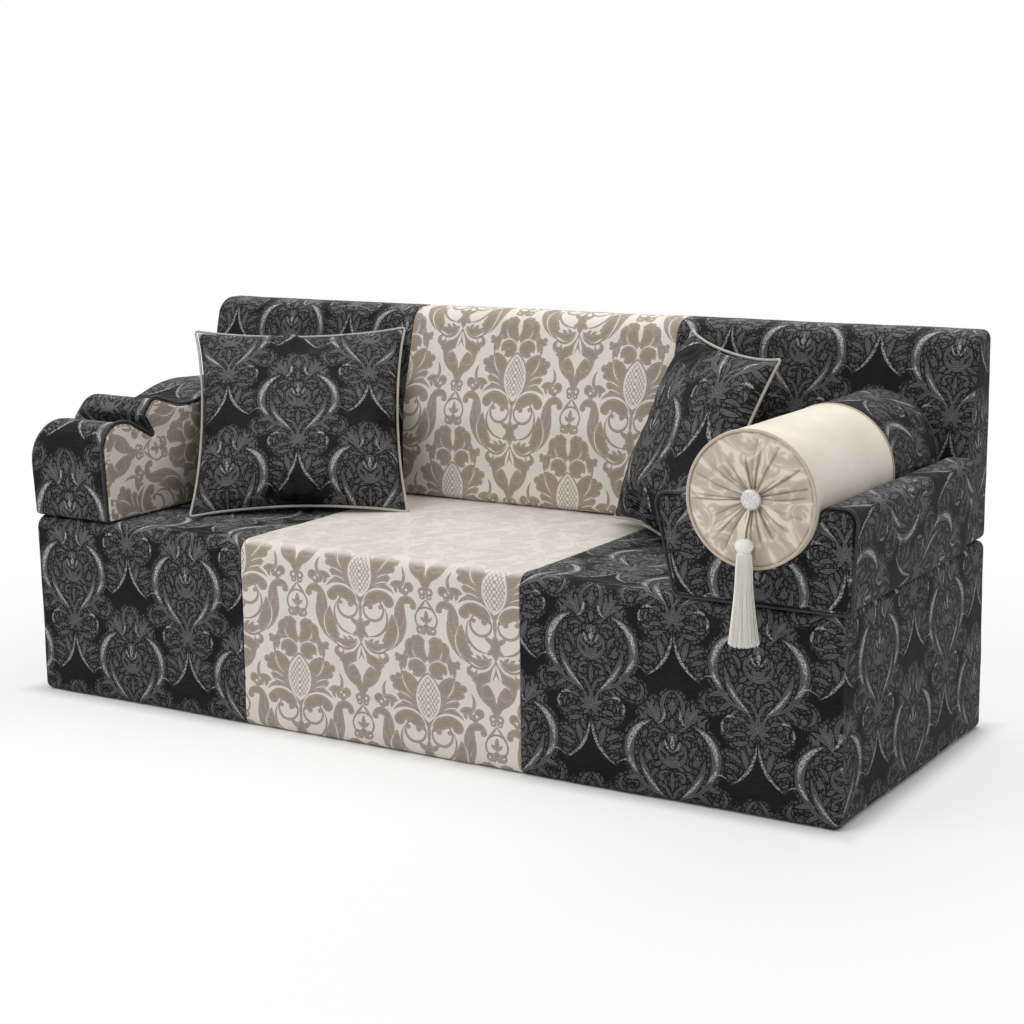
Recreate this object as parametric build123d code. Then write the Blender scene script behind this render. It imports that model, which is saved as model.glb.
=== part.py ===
from build123d import *
from math import cos, radians, sin, sqrt, tan
import os

# A three-seat majlis floor sofa: a seat block, a backrest block that stands on it, a
# wave-topped arm on the left, a cradle arm on the right that holds a tasselled bolster,
# and two piped throw cushions. Every block is foam in a sewn cover with a zip.
# Millimetres. +X is to the sitter's left, which is the right of a front view, +Y is to
# the rear and +Z is up. The origin is at the centre of the seat block's underside.

os.makedirs("parts", exist_ok=True)

# Cloth, seams and fits
cover_thickness = 2.0
cover_ease = 0.3
rest_gap = 0.3
arm_back_gap = 3.0
cut_overrun = 20.0
piping_radius = 3.0

# Seat block
seat_width = 1900.0
seat_depth = 736.0
seat_height = 393.0
left_section_width = 574.0
centre_section_width = 673.0
seat_front_radius = 30.0
seat_rear_radius = 20.0
seat_base_radius = 16.0
seat_end_radius = 15.0
base_foam_height = 250.0

# Backrest block, which stands on the rear of the seat
backrest_thickness = 152.0
backrest_height = 423.0
backrest_upright_height = 187.0
backrest_foot_rake = 8.0
backrest_top_rake = 68.0
backrest_lumbar_radius = 150.0
backrest_crest_radius = 48.0
backrest_rear_radius = 20.0
backrest_foot_radius = 17.0
backrest_end_radius = 16.0
backrest_zip_height = 45.0

# Left arm, with a wavy top
left_arm_width = 216.0
left_arm_height = 257.0
left_arm_shoulder_radius = 48.0

# Right arm, a cradle with a groove for the bolster, which reaches out past the seat's end
right_arm_height = 189.0
right_arm_base_width = 337.0
right_arm_top_width = 384.0
right_arm_base_overhang = 13.0
right_arm_top_overhang = 34.0
right_arm_front_lean = 30.0
right_arm_horn_radius = 21.0
right_arm_lip_radius = 14.0
right_arm_base_radius = 12.0
bolster_axis_height = 194.0

# Bolster
bolster_radius = 123.0
bolster_length = 575.0
bolster_cream_length = 355.0
bolster_front_overhang = 40.0
end_bulge = 6.0
end_dish = 8.0
end_thickness = 3.0
end_pleat_count = 22
end_pleat_radius = 2.0
end_edge_radius = 14.0
joint_piping_radius = 1.6
joint_piping_proud = 1.2
groove_clearance = 0.3

# Covered buttons on the ends of the bolster
button_radius = 19.0
button_thickness = 11.0
button_edge_radius = 3.5

# Tassel
tassel_cord_radius = 1.2
tassel_knot_radius = 1.6
tassel_cord_drop = 44.0
tassel_cord_drop_shares = (0.27, 0.7)
tassel_cord_swell_shares = (0.12, 1.0)
tassel_arc_share = 0.45
tassel_head_radius = 16.0
tassel_head_height = 24.0
tassel_neck_radius = 11.5
tassel_neck_height = 5.0
skirt_length = 164.0
skirt_top_radius = 13.5
skirt_bottom_radius = 30.0
skirt_flute_count = 14
skirt_flute_radius = 2.0

# Throw cushions, each with its width, its height and where it lies: the middle of the
# cushion from the seat's front left corner, then its bearing, lean and roll
left_cushion_width = 460.0
left_cushion_height = 450.0
left_cushion_place = (435.0, 394.0)
left_cushion_turns = (34.6, 36.2, 0.0)
right_cushion_width = 432.0
right_cushion_height = 412.0
right_cushion_place = (1392.0, 435.0)
right_cushion_turns = (-40.3, 23.6, -1.8)
cushion_crown = 74.0
cushion_piping_lip = 1.6
cushion_corner_radius = 12.0

# Zips, each sunk in a slot in its cover
zip_slot_width = 13.0
zip_slot_depth = 9.0
zip_tape_thickness = 1.0
zip_coil_width = 3.6
zip_coil_height = 1.8
slider_length = 12.0
slider_width = 9.0
slider_height = 4.6
puller_length = 16.0
puller_width = 5.0
puller_thickness = 1.2
zip_clearance = 0.3
seat_zip_length = 1300.0
seat_zip_height = 60.0
backrest_zip_length = 1300.0
arm_zip_length = 400.0
bolster_zip_length = 280.0
cushion_zip_length = 170.0

# Outline of the left arm seen from the side, as shares of its depth and its height,
# from the foot of the front, over the hump, the notch, the scroll and the rear dome
wave_shares = (
    (0.005, 0.0),
    (-0.012, 0.82),
    (0.124, 0.82),
    (0.289, 0.624),
    (0.219, 0.857),
    (0.278, 0.984),
    (0.417, 0.876),
    (0.518, 0.876),
    (0.696, 1.0),
    (1.0, 0.965),
    (1.0, 0.0),
)
# The rounding of each of those corners, as shares of the arm's height
wave_radius_shares = (0.04, 0.215, 0.3, 0.02, 0.047, 0.086, 0.55, 0.55, 1.1, 0.06, 0.04)
shoulder_steps = 4

# Level lines of a cushion's face from its seam to its crown: how high each one is as a
# share of the crown, then its half width, inward bow and corner rounding as shares of
# the cushion's half width
cushion_level_shares = (
    (0.0, 1.0, 0.05, 0.04),
    (0.34, 0.93, 0.024, 0.13),
    (0.64, 0.79, 0.006, 0.24),
    (0.87, 0.56, -0.03, 0.28),
    (0.97, 0.34, -0.04, 0.22),
    (1.0, 0.15, -0.02, 0.11),
)
cushion_zip_drop_share = 0.6
cushion_zip_depth_share = 0.79

seat_left = -seat_width / 2
seat_right = seat_width / 2
seat_front = -seat_depth / 2
seat_rear = seat_depth / 2
left_seam = seat_left + left_section_width
right_seam = left_seam + centre_section_width
seated_level = seat_height + rest_gap
backrest_front = seat_rear - backrest_thickness
arm_depth = seat_depth - backrest_thickness - arm_back_gap
arm_rear = seat_front + arm_depth
right_arm_top_left = seat_right + right_arm_top_overhang - right_arm_top_width
right_arm_middle = right_arm_top_left + right_arm_top_width / 2
bolster_level = seated_level + bolster_axis_height
bolster_front = seat_front - bolster_front_overhang
bolster_joint = bolster_front + bolster_cream_length
bolster_rear = bolster_front + bolster_length
groove_radius = bolster_radius + joint_piping_proud + groove_clearance


def save(name, shape):
    """Writes one piece of the sofa to its own file."""
    shape.label = name
    export_step(shape, f"parts/{name}.step")


def block(low, high):
    """A plain block between two corners, which keeps or cuts a region."""
    size = [b - a for a, b in zip(low, high)]
    middle = [(a + b) / 2 for a, b in zip(low, high)]
    return Pos(*middle) * Box(*size)


def slab(axis, low, high):
    """A block that is wider than the sofa, and limited along one axis only."""
    reach = seat_width
    corners = [[-reach, -reach, -reach], [reach, reach, reach]]
    corners[0][axis] = low
    corners[1][axis] = high
    return block(*corners)


def ends_rounded(bar, radius):
    """Rounds the outlines of the two ends of a bar that runs along X."""
    ends = bar.faces().sort_by(Axis.X)
    return fillet(ends[0].edges() + ends[-1].edges(), radius)


def long_block(points, radii, end_radius, inset):
    """A block as wide as the seat with a rounded side outline, drawn in by inset."""
    outline = make_face(FilletPolyline(*points, radius=radii, close=True))
    if inset > 0:
        outline = offset(outline, amount=-inset)
    bar = extrude(Plane.YZ * outline, amount=seat_width / 2 - inset, both=True)
    return ends_rounded(bar, end_radius - inset)


def seat_block(inset):
    """The seat's outer shape, drawn in by inset."""
    points = [
        (seat_front, 0),
        (seat_front, seat_height),
        (seat_rear, seat_height),
        (seat_rear, 0),
    ]
    radii = [seat_base_radius, seat_front_radius, seat_rear_radius, seat_base_radius]
    return long_block(points, radii, seat_end_radius, inset)


def backrest_block(inset):
    """The backrest's outer shape: upright to the lumbar height, then leaning back."""
    top = seated_level + backrest_height
    points = [
        (backrest_front, seated_level),
        (backrest_front + backrest_foot_rake, seated_level + backrest_upright_height),
        (backrest_front + backrest_top_rake, top),
        (seat_rear, top),
        (seat_rear, seated_level),
    ]
    radii = [
        backrest_foot_radius,
        backrest_lumbar_radius,
        backrest_crest_radius,
        backrest_rear_radius,
        backrest_foot_radius,
    ]
    return long_block(points, radii, backrest_end_radius, inset)


def zip_slot(place, length):
    """The slot that a zip is sunk in. The place's Z axis points out of the cover."""
    return place * block(
        (-length / 2, -zip_slot_width / 2, -zip_slot_depth),
        (length / 2, zip_slot_width / 2, cut_overrun),
    )


def zip_tape(place, length):
    """A zip's tape with its coil, on the floor of its slot."""
    tape_floor = -zip_slot_depth + zip_clearance
    tape_top = tape_floor + zip_tape_thickness
    tape_end = length / 2 - zip_clearance
    tape_side = zip_slot_width / 2 - zip_clearance
    tape = block((-tape_end, -tape_side, tape_floor), (tape_end, tape_side, tape_top))
    coil = block(
        (-tape_end, -zip_coil_width / 2, tape_top),
        (tape_end, zip_coil_width / 2, tape_top + zip_coil_height),
    )
    return place * (tape + coil)


def zip_slider(place, length):
    """A zip's slider at the closed end of its travel, straddling the coil."""
    slider_floor = -zip_slot_depth + 2 * zip_clearance + zip_tape_thickness
    slider_top = slider_floor + slider_height
    slider_start = -length / 2 + zip_clearance + puller_length
    slider_end = slider_start + slider_length
    body = block(
        (slider_start, -slider_width / 2, slider_floor),
        (slider_end, slider_width / 2, slider_top),
    )
    channel_side = zip_coil_width / 2 + zip_clearance
    channel = block(
        (slider_start - cut_overrun, -channel_side, slider_floor - cut_overrun),
        (slider_end + cut_overrun, channel_side, slider_floor + zip_coil_height),
    )
    puller = block(
        (slider_start - puller_length + zip_clearance, -puller_width / 2, slider_top - puller_thickness),
        (slider_end - slider_length / 2, puller_width / 2, slider_top),
    )
    return place * (body - channel + puller)


def save_zip(owner, place, length):
    """Writes an owner's zip tape and zip slider."""
    save(f"{owner}_zip", zip_tape(place, length))
    save(f"{owner}_zip_slider", zip_slider(place, length))


def save_sections(owner, cover):
    """Cuts a cover at its two seams and writes its three sections."""
    save(f"{owner}_cover_left", cover & slab(0, seat_left - cut_overrun, left_seam))
    save(f"{owner}_cover_centre", cover & slab(0, left_seam, right_seam))
    save(f"{owner}_cover_right", cover & slab(0, right_seam, seat_right + cut_overrun))


def make_seat():
    """The seat: two foam layers, a cover in three sections and a base cloth."""
    place = Plane((0, seat_rear, seat_zip_height), x_dir=(1, 0, 0), z_dir=(0, 1, 0))
    slot = zip_slot(place, seat_zip_length)
    foam = seat_block(cover_thickness + cover_ease) - slot
    save("seat_base_foam", foam & slab(2, 0, base_foam_height))
    save("seat_comfort_foam", foam & slab(2, base_foam_height, seat_height))
    cover = seat_block(0) - seat_block(cover_thickness) - slot
    base = block(
        (seat_left + seat_base_radius, seat_front + seat_base_radius, 0),
        (seat_right - seat_base_radius, seat_rear - seat_base_radius, cover_thickness),
    )
    save("seat_base_cloth", base)
    save_sections("seat", cover - base)
    save_zip("seat", place, seat_zip_length)


def make_backrest():
    """The backrest: one foam block in a cover of three sections."""
    place = Plane(
        (0, seat_rear, seated_level + backrest_zip_height), x_dir=(1, 0, 0), z_dir=(0, 1, 0)
    )
    slot = zip_slot(place, backrest_zip_length)
    save("backrest_foam", backrest_block(cover_thickness + cover_ease) - slot)
    save_sections("backrest", backrest_block(0) - backrest_block(cover_thickness) - slot)
    save_zip("backrest", place, backrest_zip_length)


def wave_face(inset, drop):
    """The left arm's side outline, drawn in by inset, with its top lowered by drop."""
    points = []
    for depth_share, height_share in wave_shares:
        lowered = drop if height_share > 0 else 0
        level = seated_level + height_share * left_arm_height - lowered
        points.append((seat_front + depth_share * arm_depth, level))
    radii = [share * left_arm_height for share in wave_radius_shares]
    outline = make_face(FilletPolyline(*points, radius=radii, close=True))
    if inset != 0:
        outline = offset(outline, amount=-inset)
    return Plane.YZ * outline


def left_arm_block(inset):
    """The left arm's outer shape: the wave, with its outer top corner rounded over."""
    radius = left_arm_shoulder_radius - inset
    faces = []
    for step in range(shoulder_steps + 1):
        angle = radians(90 * step / shoulder_steps)
        across = seat_left + left_arm_shoulder_radius - radius * cos(angle)
        faces.append(Pos(across, 0, 0) * wave_face(inset, radius * (1 - sin(angle))))
    faces.append(Pos(seat_left + left_arm_width - inset, 0, 0) * wave_face(inset, 0))
    return loft(faces, ruled=True)


def make_left_arm():
    """The left arm: foam, a dark band over the wave, side panels, piping and a zip."""
    middle = (seat_left + left_arm_width / 2, seat_front + arm_depth / 2, seated_level)
    place = Plane(middle, x_dir=(0, 1, 0), z_dir=(0, 0, -1))
    slot = zip_slot(place, arm_zip_length)
    hollow = left_arm_block(cover_thickness)
    save("left_arm_foam", (left_arm_block(cover_thickness + cover_ease) & hollow) - slot)
    cover = left_arm_block(0) - hollow - slot
    inner_side = seat_left + left_arm_width
    outer_panel = slab(0, seat_left - cut_overrun, seat_left + cover_thickness)
    inner_panel = slab(0, inner_side - cover_thickness, inner_side + cut_overrun)
    base_panel = slab(2, 0, seated_level + cover_thickness)
    save("left_arm_outer_panel", cover & outer_panel)
    save("left_arm_inner_panel", cover & inner_panel)
    rest = cover - outer_panel - inner_panel
    save("left_arm_base_panel", rest & base_panel)
    save("left_arm_cover", rest - base_panel)
    band = wave_face(-2 * piping_radius - cover_ease, 0) - wave_face(-cover_ease, 0)
    band = extrude(Pos(inner_side - 2 * piping_radius, 0, 0) * band, amount=2 * piping_radius)
    band = band & slab(2, seated_level, seat_width) & slab(1, -seat_width, arm_rear)
    save("left_arm_piping", band.solids().sort_by(SortBy.VOLUME)[-1])
    save_zip("left_arm", place, arm_zip_length)


def cradle_face():
    """The right arm's front outline: flared sides and a groove for the bolster."""
    top = seated_level + right_arm_height
    base_left = seat_right + right_arm_base_overhang - right_arm_base_width
    points = [
        (base_left, seated_level),
        (right_arm_top_left, top),
        (right_arm_top_left + right_arm_top_width, top),
        (base_left + right_arm_base_width, seated_level),
    ]
    radii = [
        right_arm_base_radius,
        right_arm_horn_radius,
        right_arm_horn_radius,
        right_arm_base_radius,
    ]
    block_face = make_face(FilletPolyline(*points, radius=radii, close=True))
    grooved = block_face - Pos(right_arm_middle, bolster_level) * Circle(groove_radius)
    reach = sqrt(groove_radius**2 - (bolster_axis_height - right_arm_height) ** 2)
    lips = [
        v
        for v in grooved.vertices()
        if abs(v.Y - top) < cover_ease and abs(abs(v.X - right_arm_middle) - reach) < cover_ease
    ]
    return fillet(lips, right_arm_lip_radius)


def lean_block(front_inset, rear_inset, base_inset):
    """Space between the right arm's leaning front, its upright rear and its base."""
    top = right_arm_height + cut_overrun
    lean = right_arm_front_lean * top / right_arm_height
    sunk = -cut_overrun if base_inset < 0 else base_inset
    sunk_lean = right_arm_front_lean * sunk / right_arm_height
    side = Polyline(
        (seat_front + front_inset - sunk_lean, seated_level + sunk),
        (seat_front + front_inset - lean, seated_level + top),
        (arm_rear - rear_inset, seated_level + top),
        (arm_rear - rear_inset, seated_level + sunk),
        close=True,
    )
    return extrude(Plane.YZ * make_face(side), amount=seat_width, both=True)


def right_arm_block(face, inset):
    """The right arm's outer shape, drawn in by inset."""
    outline = offset(face, amount=-inset) if inset > 0 else face
    along = Plane((0, seat_rear, 0), x_dir=(1, 0, 0), z_dir=(0, -1, 0))
    bar = extrude(along * outline, amount=seat_depth + right_arm_front_lean + cut_overrun)
    return bar & lean_block(inset, inset, inset)


def make_right_arm():
    """The right arm: a grooved foam block, its cover panels, piping and a zip."""
    face = cradle_face()
    middle = (right_arm_middle, seat_front + arm_depth / 2, seated_level)
    place = Plane(middle, x_dir=(0, 1, 0), z_dir=(0, 0, -1))
    slot = zip_slot(place, arm_zip_length)
    save("right_arm_foam", right_arm_block(face, cover_thickness + cover_ease) - slot)
    cover = right_arm_block(face, 0) - right_arm_block(face, cover_thickness) - slot
    front_cut = lean_block(cover_thickness, -cut_overrun, -cut_overrun)
    rear_panel = slab(1, arm_rear - cover_thickness, arm_rear + cut_overrun)
    base_panel = slab(2, 0, seated_level + cover_thickness)
    save("right_arm_front_panel", cover - front_cut)
    rest = cover & front_cut
    save("right_arm_rear_panel", rest & rear_panel)
    rest = rest - rear_panel
    save("right_arm_base_panel", rest & base_panel)
    save("right_arm_cover", rest - base_panel)
    band = offset(face, amount=2 * piping_radius + cover_ease) - offset(face, amount=cover_ease)
    along = Plane((0, seat_rear, 0), x_dir=(1, 0, 0), z_dir=(0, -1, 0))
    bar = extrude(along * band, amount=seat_depth + right_arm_front_lean + cut_overrun)
    groove = Pos(right_arm_middle, bolster_level) * Circle(groove_radius)
    rim = lean_block(0, 0, -cut_overrun) - lean_block(2 * piping_radius, 0, -cut_overrun)
    room = extrude(along * groove, amount=seat_width)
    save("right_arm_piping", (bar & rim) - room)
    save_zip("right_arm", place, arm_zip_length)


def rod(start, end, radius):
    """A round rod between two points."""
    run = Vector(end) - Vector(start)
    return Plane((Vector(start) + Vector(end)) / 2, z_dir=run) * Cylinder(radius, run.length)


def end_profile(depth):
    """Half section of a gathered end: dished at the button, then puffed, then the edge."""
    rim = bolster_radius - end_edge_radius
    outer = Polyline(
        (bolster_radius, -end_edge_radius),
        (bolster_radius, -end_edge_radius - depth),
        (0, -end_edge_radius - depth),
        (0, -end_dish),
        (button_radius + end_pleat_radius, -end_dish),
        ((button_radius + rim) / 2, end_bulge),
        (rim, 0),
    )
    edge = RadiusArc((rim, 0), (bolster_radius, -end_edge_radius), end_edge_radius)
    return make_face(outer + edge)


def bolster_end(place):
    """A gathered end disc with radial pleats, closing the bolster's sleeve."""
    disc = revolve(Plane.XZ * end_profile(end_thickness), Axis.Z)
    rim = bolster_radius - end_edge_radius
    puff = ((button_radius + rim) / 2, 0, end_bulge)
    runs = [
        rod((button_radius + end_pleat_radius, 0, -end_dish), puff, end_pleat_radius),
        rod(puff, (rim, 0, 0), end_pleat_radius),
    ]
    pleats = []
    for n in range(end_pleat_count):
        pleats += [Rot(0, 0, 360 * n / end_pleat_count) * run for run in runs]
    return place * (disc - pleats)


def covered_button(place):
    """A covered button in the dish of a gathered end."""
    base = -end_dish + cover_ease
    button = Pos(0, 0, base + button_thickness / 2) * Cylinder(button_radius, button_thickness)
    return place * fillet(button.edges(), button_edge_radius)


def ring(place, radius, tube, height):
    """A round ring of piping about the place's Z axis."""
    return place * (Pos(0, 0, height) * Torus(radius, tube))


def make_bolster():
    """The bolster: filling, two sleeves, gathered ends, piping, buttons and a zip."""
    front = Plane(
        (right_arm_middle, bolster_front, bolster_level), x_dir=(1, 0, 0), z_dir=(0, -1, 0)
    )
    rear = Plane(
        (right_arm_middle, bolster_rear, bolster_level), x_dir=(-1, 0, 0), z_dir=(0, 1, 0)
    )
    sleeve_start = end_edge_radius + end_thickness + cover_ease
    inner_radius = bolster_radius - cover_thickness
    zip_middle = (
        right_arm_middle,
        bolster_front + sleeve_start + bolster_cream_length / 2,
        bolster_level - bolster_radius,
    )
    place = Plane(zip_middle, x_dir=(0, 1, 0), z_dir=(0, 0, -1))
    slot = zip_slot(place, bolster_zip_length)
    core_length = bolster_length - 2 * sleeve_start
    core = Pos(0, 0, -bolster_length / 2) * Cylinder(inner_radius - cover_ease, core_length)
    save("bolster_filling", front * core - slot)
    tube = Cylinder(bolster_radius, core_length) - Cylinder(inner_radius, core_length)
    joint_ring = ring(
        front,
        bolster_radius - joint_piping_radius + joint_piping_proud,
        joint_piping_radius,
        -bolster_cream_length,
    )
    sleeve = front * (Pos(0, 0, -bolster_length / 2) * tube) - slot
    seam_room = ring(
        front,
        bolster_radius - joint_piping_radius + joint_piping_proud,
        joint_piping_radius + 2 * cover_ease,
        -bolster_cream_length,
    )
    sleeve = sleeve - seam_room
    save("bolster_cover_cream", sleeve & slab(1, -seat_width, bolster_joint))
    save("bolster_cover_black", sleeve & slab(1, bolster_joint, seat_width))
    save("bolster_joint_piping", joint_ring)
    save("bolster_front_end", bolster_end(front))
    save("bolster_rear_end", bolster_end(rear))
    rim = bolster_radius - end_edge_radius
    away = (end_edge_radius + piping_radius + cover_ease) * sqrt(1 / 2)
    for name, side in (("front", front), ("rear", rear)):
        save(f"bolster_{name}_piping", ring(side, rim + away, piping_radius, away - end_edge_radius))
        save(f"bolster_{name}_button", covered_button(side))
    save_zip("bolster", place, bolster_zip_length)


def free_tube(route, radius):
    """A tube along straight runs joined by tangent arcs, each as large as its runs allow."""
    points = [Vector(point) for point in route]
    runs = [after - before for before, after in zip(points, points[1:])]
    radii = []
    for before, after in zip(runs, runs[1:]):
        half_turn = radians(before.get_angle(after)) / 2
        radii.append(tassel_arc_share * min(before.length, after.length) / tan(half_turn))
    print("cord arc radii", [round(value, 1) for value in radii])
    path = FilletPolyline(*points, radius=radii)
    section = Plane(points[0], z_dir=runs[0]) * Circle(radius)
    tube = sweep(section, path=path)
    print("cord length", round(path.length, 1))
    return tube


def make_tassel():
    """The tassel: a thin cord from the front button, a head, a binding and a skirt. The
    cord ends in a round knot, which is the centre that the head turns about."""
    cord_top = bolster_level - button_radius + tassel_cord_radius
    cord_end = cord_top - tassel_cord_drop
    hang = bolster_front - end_bulge - cover_ease - tassel_head_radius
    start = bolster_front + end_dish - button_thickness - tassel_cord_radius - cover_ease
    route = [(right_arm_middle, start, cord_top)]
    for drop_share, swell_share in zip(tassel_cord_drop_shares, tassel_cord_swell_shares):
        along = start + (hang - start) * swell_share
        route.append((right_arm_middle, along, cord_top - tassel_cord_drop * drop_share))
    route.append((right_arm_middle, hang, cord_end))
    knot = Pos(right_arm_middle, hang, cord_end) * Sphere(tassel_knot_radius)
    save("tassel_cord", free_tube(route, tassel_cord_radius) + knot)
    head_top = cord_end - tassel_knot_radius - cover_ease
    hung = Plane((right_arm_middle, hang, head_top), z_dir=(0, 0, 1))
    half = tassel_head_height / 2
    flat = tassel_neck_radius
    head_curve = ThreePointArc((flat / 2, 0), (tassel_head_radius, -half), (flat, -2 * half))
    head_lines = Polyline((flat, -2 * half), (0, -2 * half), (0, 0), (flat / 2, 0))
    head = revolve(Plane.XZ * make_face(head_curve + head_lines), Axis.Z)
    save("tassel_head", hung * head)
    neck_top = -tassel_head_height
    skirt_top = neck_top - tassel_neck_height
    neck = Pos(0, 0, (neck_top + skirt_top) / 2) * Cylinder(tassel_neck_radius, tassel_neck_height)
    save("tassel_binding", hung * neck)
    skirt_bottom = skirt_top - skirt_length
    bell = Spline(
        (skirt_top_radius, skirt_top),
        (skirt_bottom_radius, skirt_bottom),
        tangents=[(1, -4), (1, -9)],
    )
    sides = Polyline(
        (skirt_bottom_radius, skirt_bottom),
        (0, skirt_bottom),
        (0, skirt_top),
        (skirt_top_radius, skirt_top),
    )
    skirt = revolve(Plane.XZ * make_face(bell + sides), Axis.Z)
    slope = Vector(skirt_bottom_radius - skirt_top_radius, 0, -skirt_length)
    flute_middle = ((skirt_top_radius + skirt_bottom_radius) / 2, 0, skirt_top - skirt_length / 2)
    flute = Plane(flute_middle, x_dir=(0, 1, 0), z_dir=slope) * Cylinder(
        skirt_flute_radius, skirt_length
    )
    flutes = [Rot(0, 0, 360 * n / skirt_flute_count) * flute for n in range(skirt_flute_count)]
    save("tassel_skirt", hung * (skirt - flutes))


def level_outline(half_x, half_y, bow, corner):
    """One level line of a cushion: four bowed sides joined by four rounded corners."""
    near = corner * (1 - sqrt(1 / 2))
    edges = []
    for x_sign, y_sign in ((1, 1), (-1, 1), (-1, -1), (1, -1)):
        top = (x_sign * (half_x - corner), y_sign * half_y)
        tip = (x_sign * (half_x - near), y_sign * (half_y - near))
        side = (x_sign * half_x, y_sign * (half_y - corner))
        if x_sign == y_sign:
            edges.append(ThreePointArc(side, tip, top))
            far = (-x_sign * (half_x - corner), y_sign * half_y)
            edges.append(ThreePointArc(top, (0, y_sign * (half_y - bow)), far))
        else:
            edges.append(ThreePointArc(top, tip, side))
            far = (x_sign * half_x, -y_sign * (half_y - corner))
            edges.append(ThreePointArc(side, (x_sign * (half_x - bow), 0), far))
    return make_face(edges)


def cushion_half(width, height, inset):
    """One crowned face of a cushion, from its seam at zero to its crown."""
    sections = []
    half = width / 2
    for rise, spread, bow, corner in cushion_level_shares:
        outline = level_outline(
            spread * half - inset,
            spread * height / 2 - inset,
            bow * half,
            corner * half,
        )
        sections.append(Pos(0, 0, rise * (cushion_crown - inset)) * outline)
    return loft(sections)


def cushion_piping(width, height):
    """Piping round a cushion's seam, bowed in between its corners."""
    out = piping_radius + cushion_piping_lip
    half_x = width / 2 + out
    half_y = height / 2 + out
    bow = cushion_level_shares[0][2] * width / 2
    corners = ((half_x, half_y), (-half_x, half_y), (-half_x, -half_y), (half_x, -half_y))
    mids = ((0, half_y - bow), (-half_x + bow, 0), (0, -half_y + bow), (half_x - bow, 0))
    edges = []
    for n, mid in enumerate(mids):
        edges.append(ThreePointArc(corners[n], mid, corners[(n + 1) % len(corners)]))
    face = make_face(edges)
    face = fillet(face.vertices(), cushion_corner_radius)
    path = face.wires()[0]
    section = Plane(path @ 0, z_dir=path % 0) * Circle(piping_radius)
    return sweep(section, path=path)


def cushion_plane(place, turns, piping):
    """Where a cushion lies: X along its width, Y up its face and Z out of its front."""
    bearing, lean, roll = [radians(turn) for turn in turns]
    along = Vector(cos(bearing), sin(bearing), 0)
    up = Vector(-sin(bearing) * sin(lean), cos(bearing) * sin(lean), cos(lean))
    rolled = along * cos(roll) + up * sin(roll)
    tilted = Plane((0, 0, 0), x_dir=rolled, z_dir=along.cross(up))
    lowest = (tilted * piping).bounding_box().min.Z
    middle = (seat_left + place[0], seat_front + place[1], seated_level - lowest)
    return Plane(middle, x_dir=rolled, z_dir=along.cross(up))


def make_cushion(name, width, height, place, turns):
    """A throw cushion: filling, front and back covers, piping and a zip."""
    piping = cushion_piping(width, height)
    lies = cushion_plane(place, turns, piping)
    zip_drop = -cushion_zip_drop_share * height / 2
    zip_depth = -cushion_zip_depth_share * cushion_crown
    zip_place = Plane((0, zip_drop, zip_depth), x_dir=(1, 0, 0), z_dir=(0, 0, -1))
    slot = zip_slot(zip_place, cushion_zip_length)
    pad_half = cushion_half(width, height, cover_thickness + cover_ease)
    pad = pad_half + mirror(pad_half, about=Plane.XY) - slot
    save(f"{name}_filling", lies * pad)
    shell = cushion_half(width, height, 0) - cushion_half(width, height, cover_thickness)
    save(f"{name}_cover_front", lies * shell)
    save(f"{name}_cover_back", lies * (mirror(shell, about=Plane.XY) - slot))
    save(f"{name}_piping", lies * piping)
    save(f"{name}_zip", lies * zip_tape(zip_place, cushion_zip_length))
    save(f"{name}_zip_slider", lies * zip_slider(zip_place, cushion_zip_length))


make_seat()
make_backrest()
make_left_arm()
make_right_arm()
make_bolster()
make_tassel()
make_cushion(
    "left_cushion",
    left_cushion_width,
    left_cushion_height,
    left_cushion_place,
    left_cushion_turns,
)
make_cushion(
    "right_cushion",
    right_cushion_width,
    right_cushion_height,
    right_cushion_place,
    right_cushion_turns,
)
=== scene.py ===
import math

import bmesh
import bpy
import numpy as np
from mathutils import Matrix, Vector
from mathutils.geometry import delaunay_2d_cdt


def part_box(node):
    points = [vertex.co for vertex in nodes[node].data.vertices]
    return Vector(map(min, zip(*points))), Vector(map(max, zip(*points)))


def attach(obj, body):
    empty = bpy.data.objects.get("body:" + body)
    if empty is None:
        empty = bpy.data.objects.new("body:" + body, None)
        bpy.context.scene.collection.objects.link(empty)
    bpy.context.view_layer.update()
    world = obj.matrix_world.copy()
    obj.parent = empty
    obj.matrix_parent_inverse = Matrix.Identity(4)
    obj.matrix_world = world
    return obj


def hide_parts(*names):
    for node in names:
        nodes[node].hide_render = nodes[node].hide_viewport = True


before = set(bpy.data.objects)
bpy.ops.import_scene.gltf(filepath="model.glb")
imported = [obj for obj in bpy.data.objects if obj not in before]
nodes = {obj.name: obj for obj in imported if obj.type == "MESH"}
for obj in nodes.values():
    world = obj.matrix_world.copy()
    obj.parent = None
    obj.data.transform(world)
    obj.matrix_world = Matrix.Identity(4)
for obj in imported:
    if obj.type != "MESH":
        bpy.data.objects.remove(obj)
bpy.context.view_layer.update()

# Sizes repeated from part.py, in metres
SEAT_X = (-0.950, 0.950)
SEAT_Y = (-0.368, 0.368)
SEAT_TOP = 0.393
SEATED = 0.3933
SEAMS = (-0.376, 0.297)
ARM_REAR = 0.213
BACK_TOP = SEATED + 0.423
LEFT_ARM = (-0.950, -0.734)
LEFT_HEIGHT = 0.257
RIGHT_HEIGHT = 0.189
AXIS_X = 0.792
AXIS_Z = 0.5873
BOLSTER_R = 0.123
BOLSTER_FRONT = -0.408
BOLSTER_JOINT = -0.053
BOLSTER_REAR = 0.167
BOLSTER_ZIP = -0.2132

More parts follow.
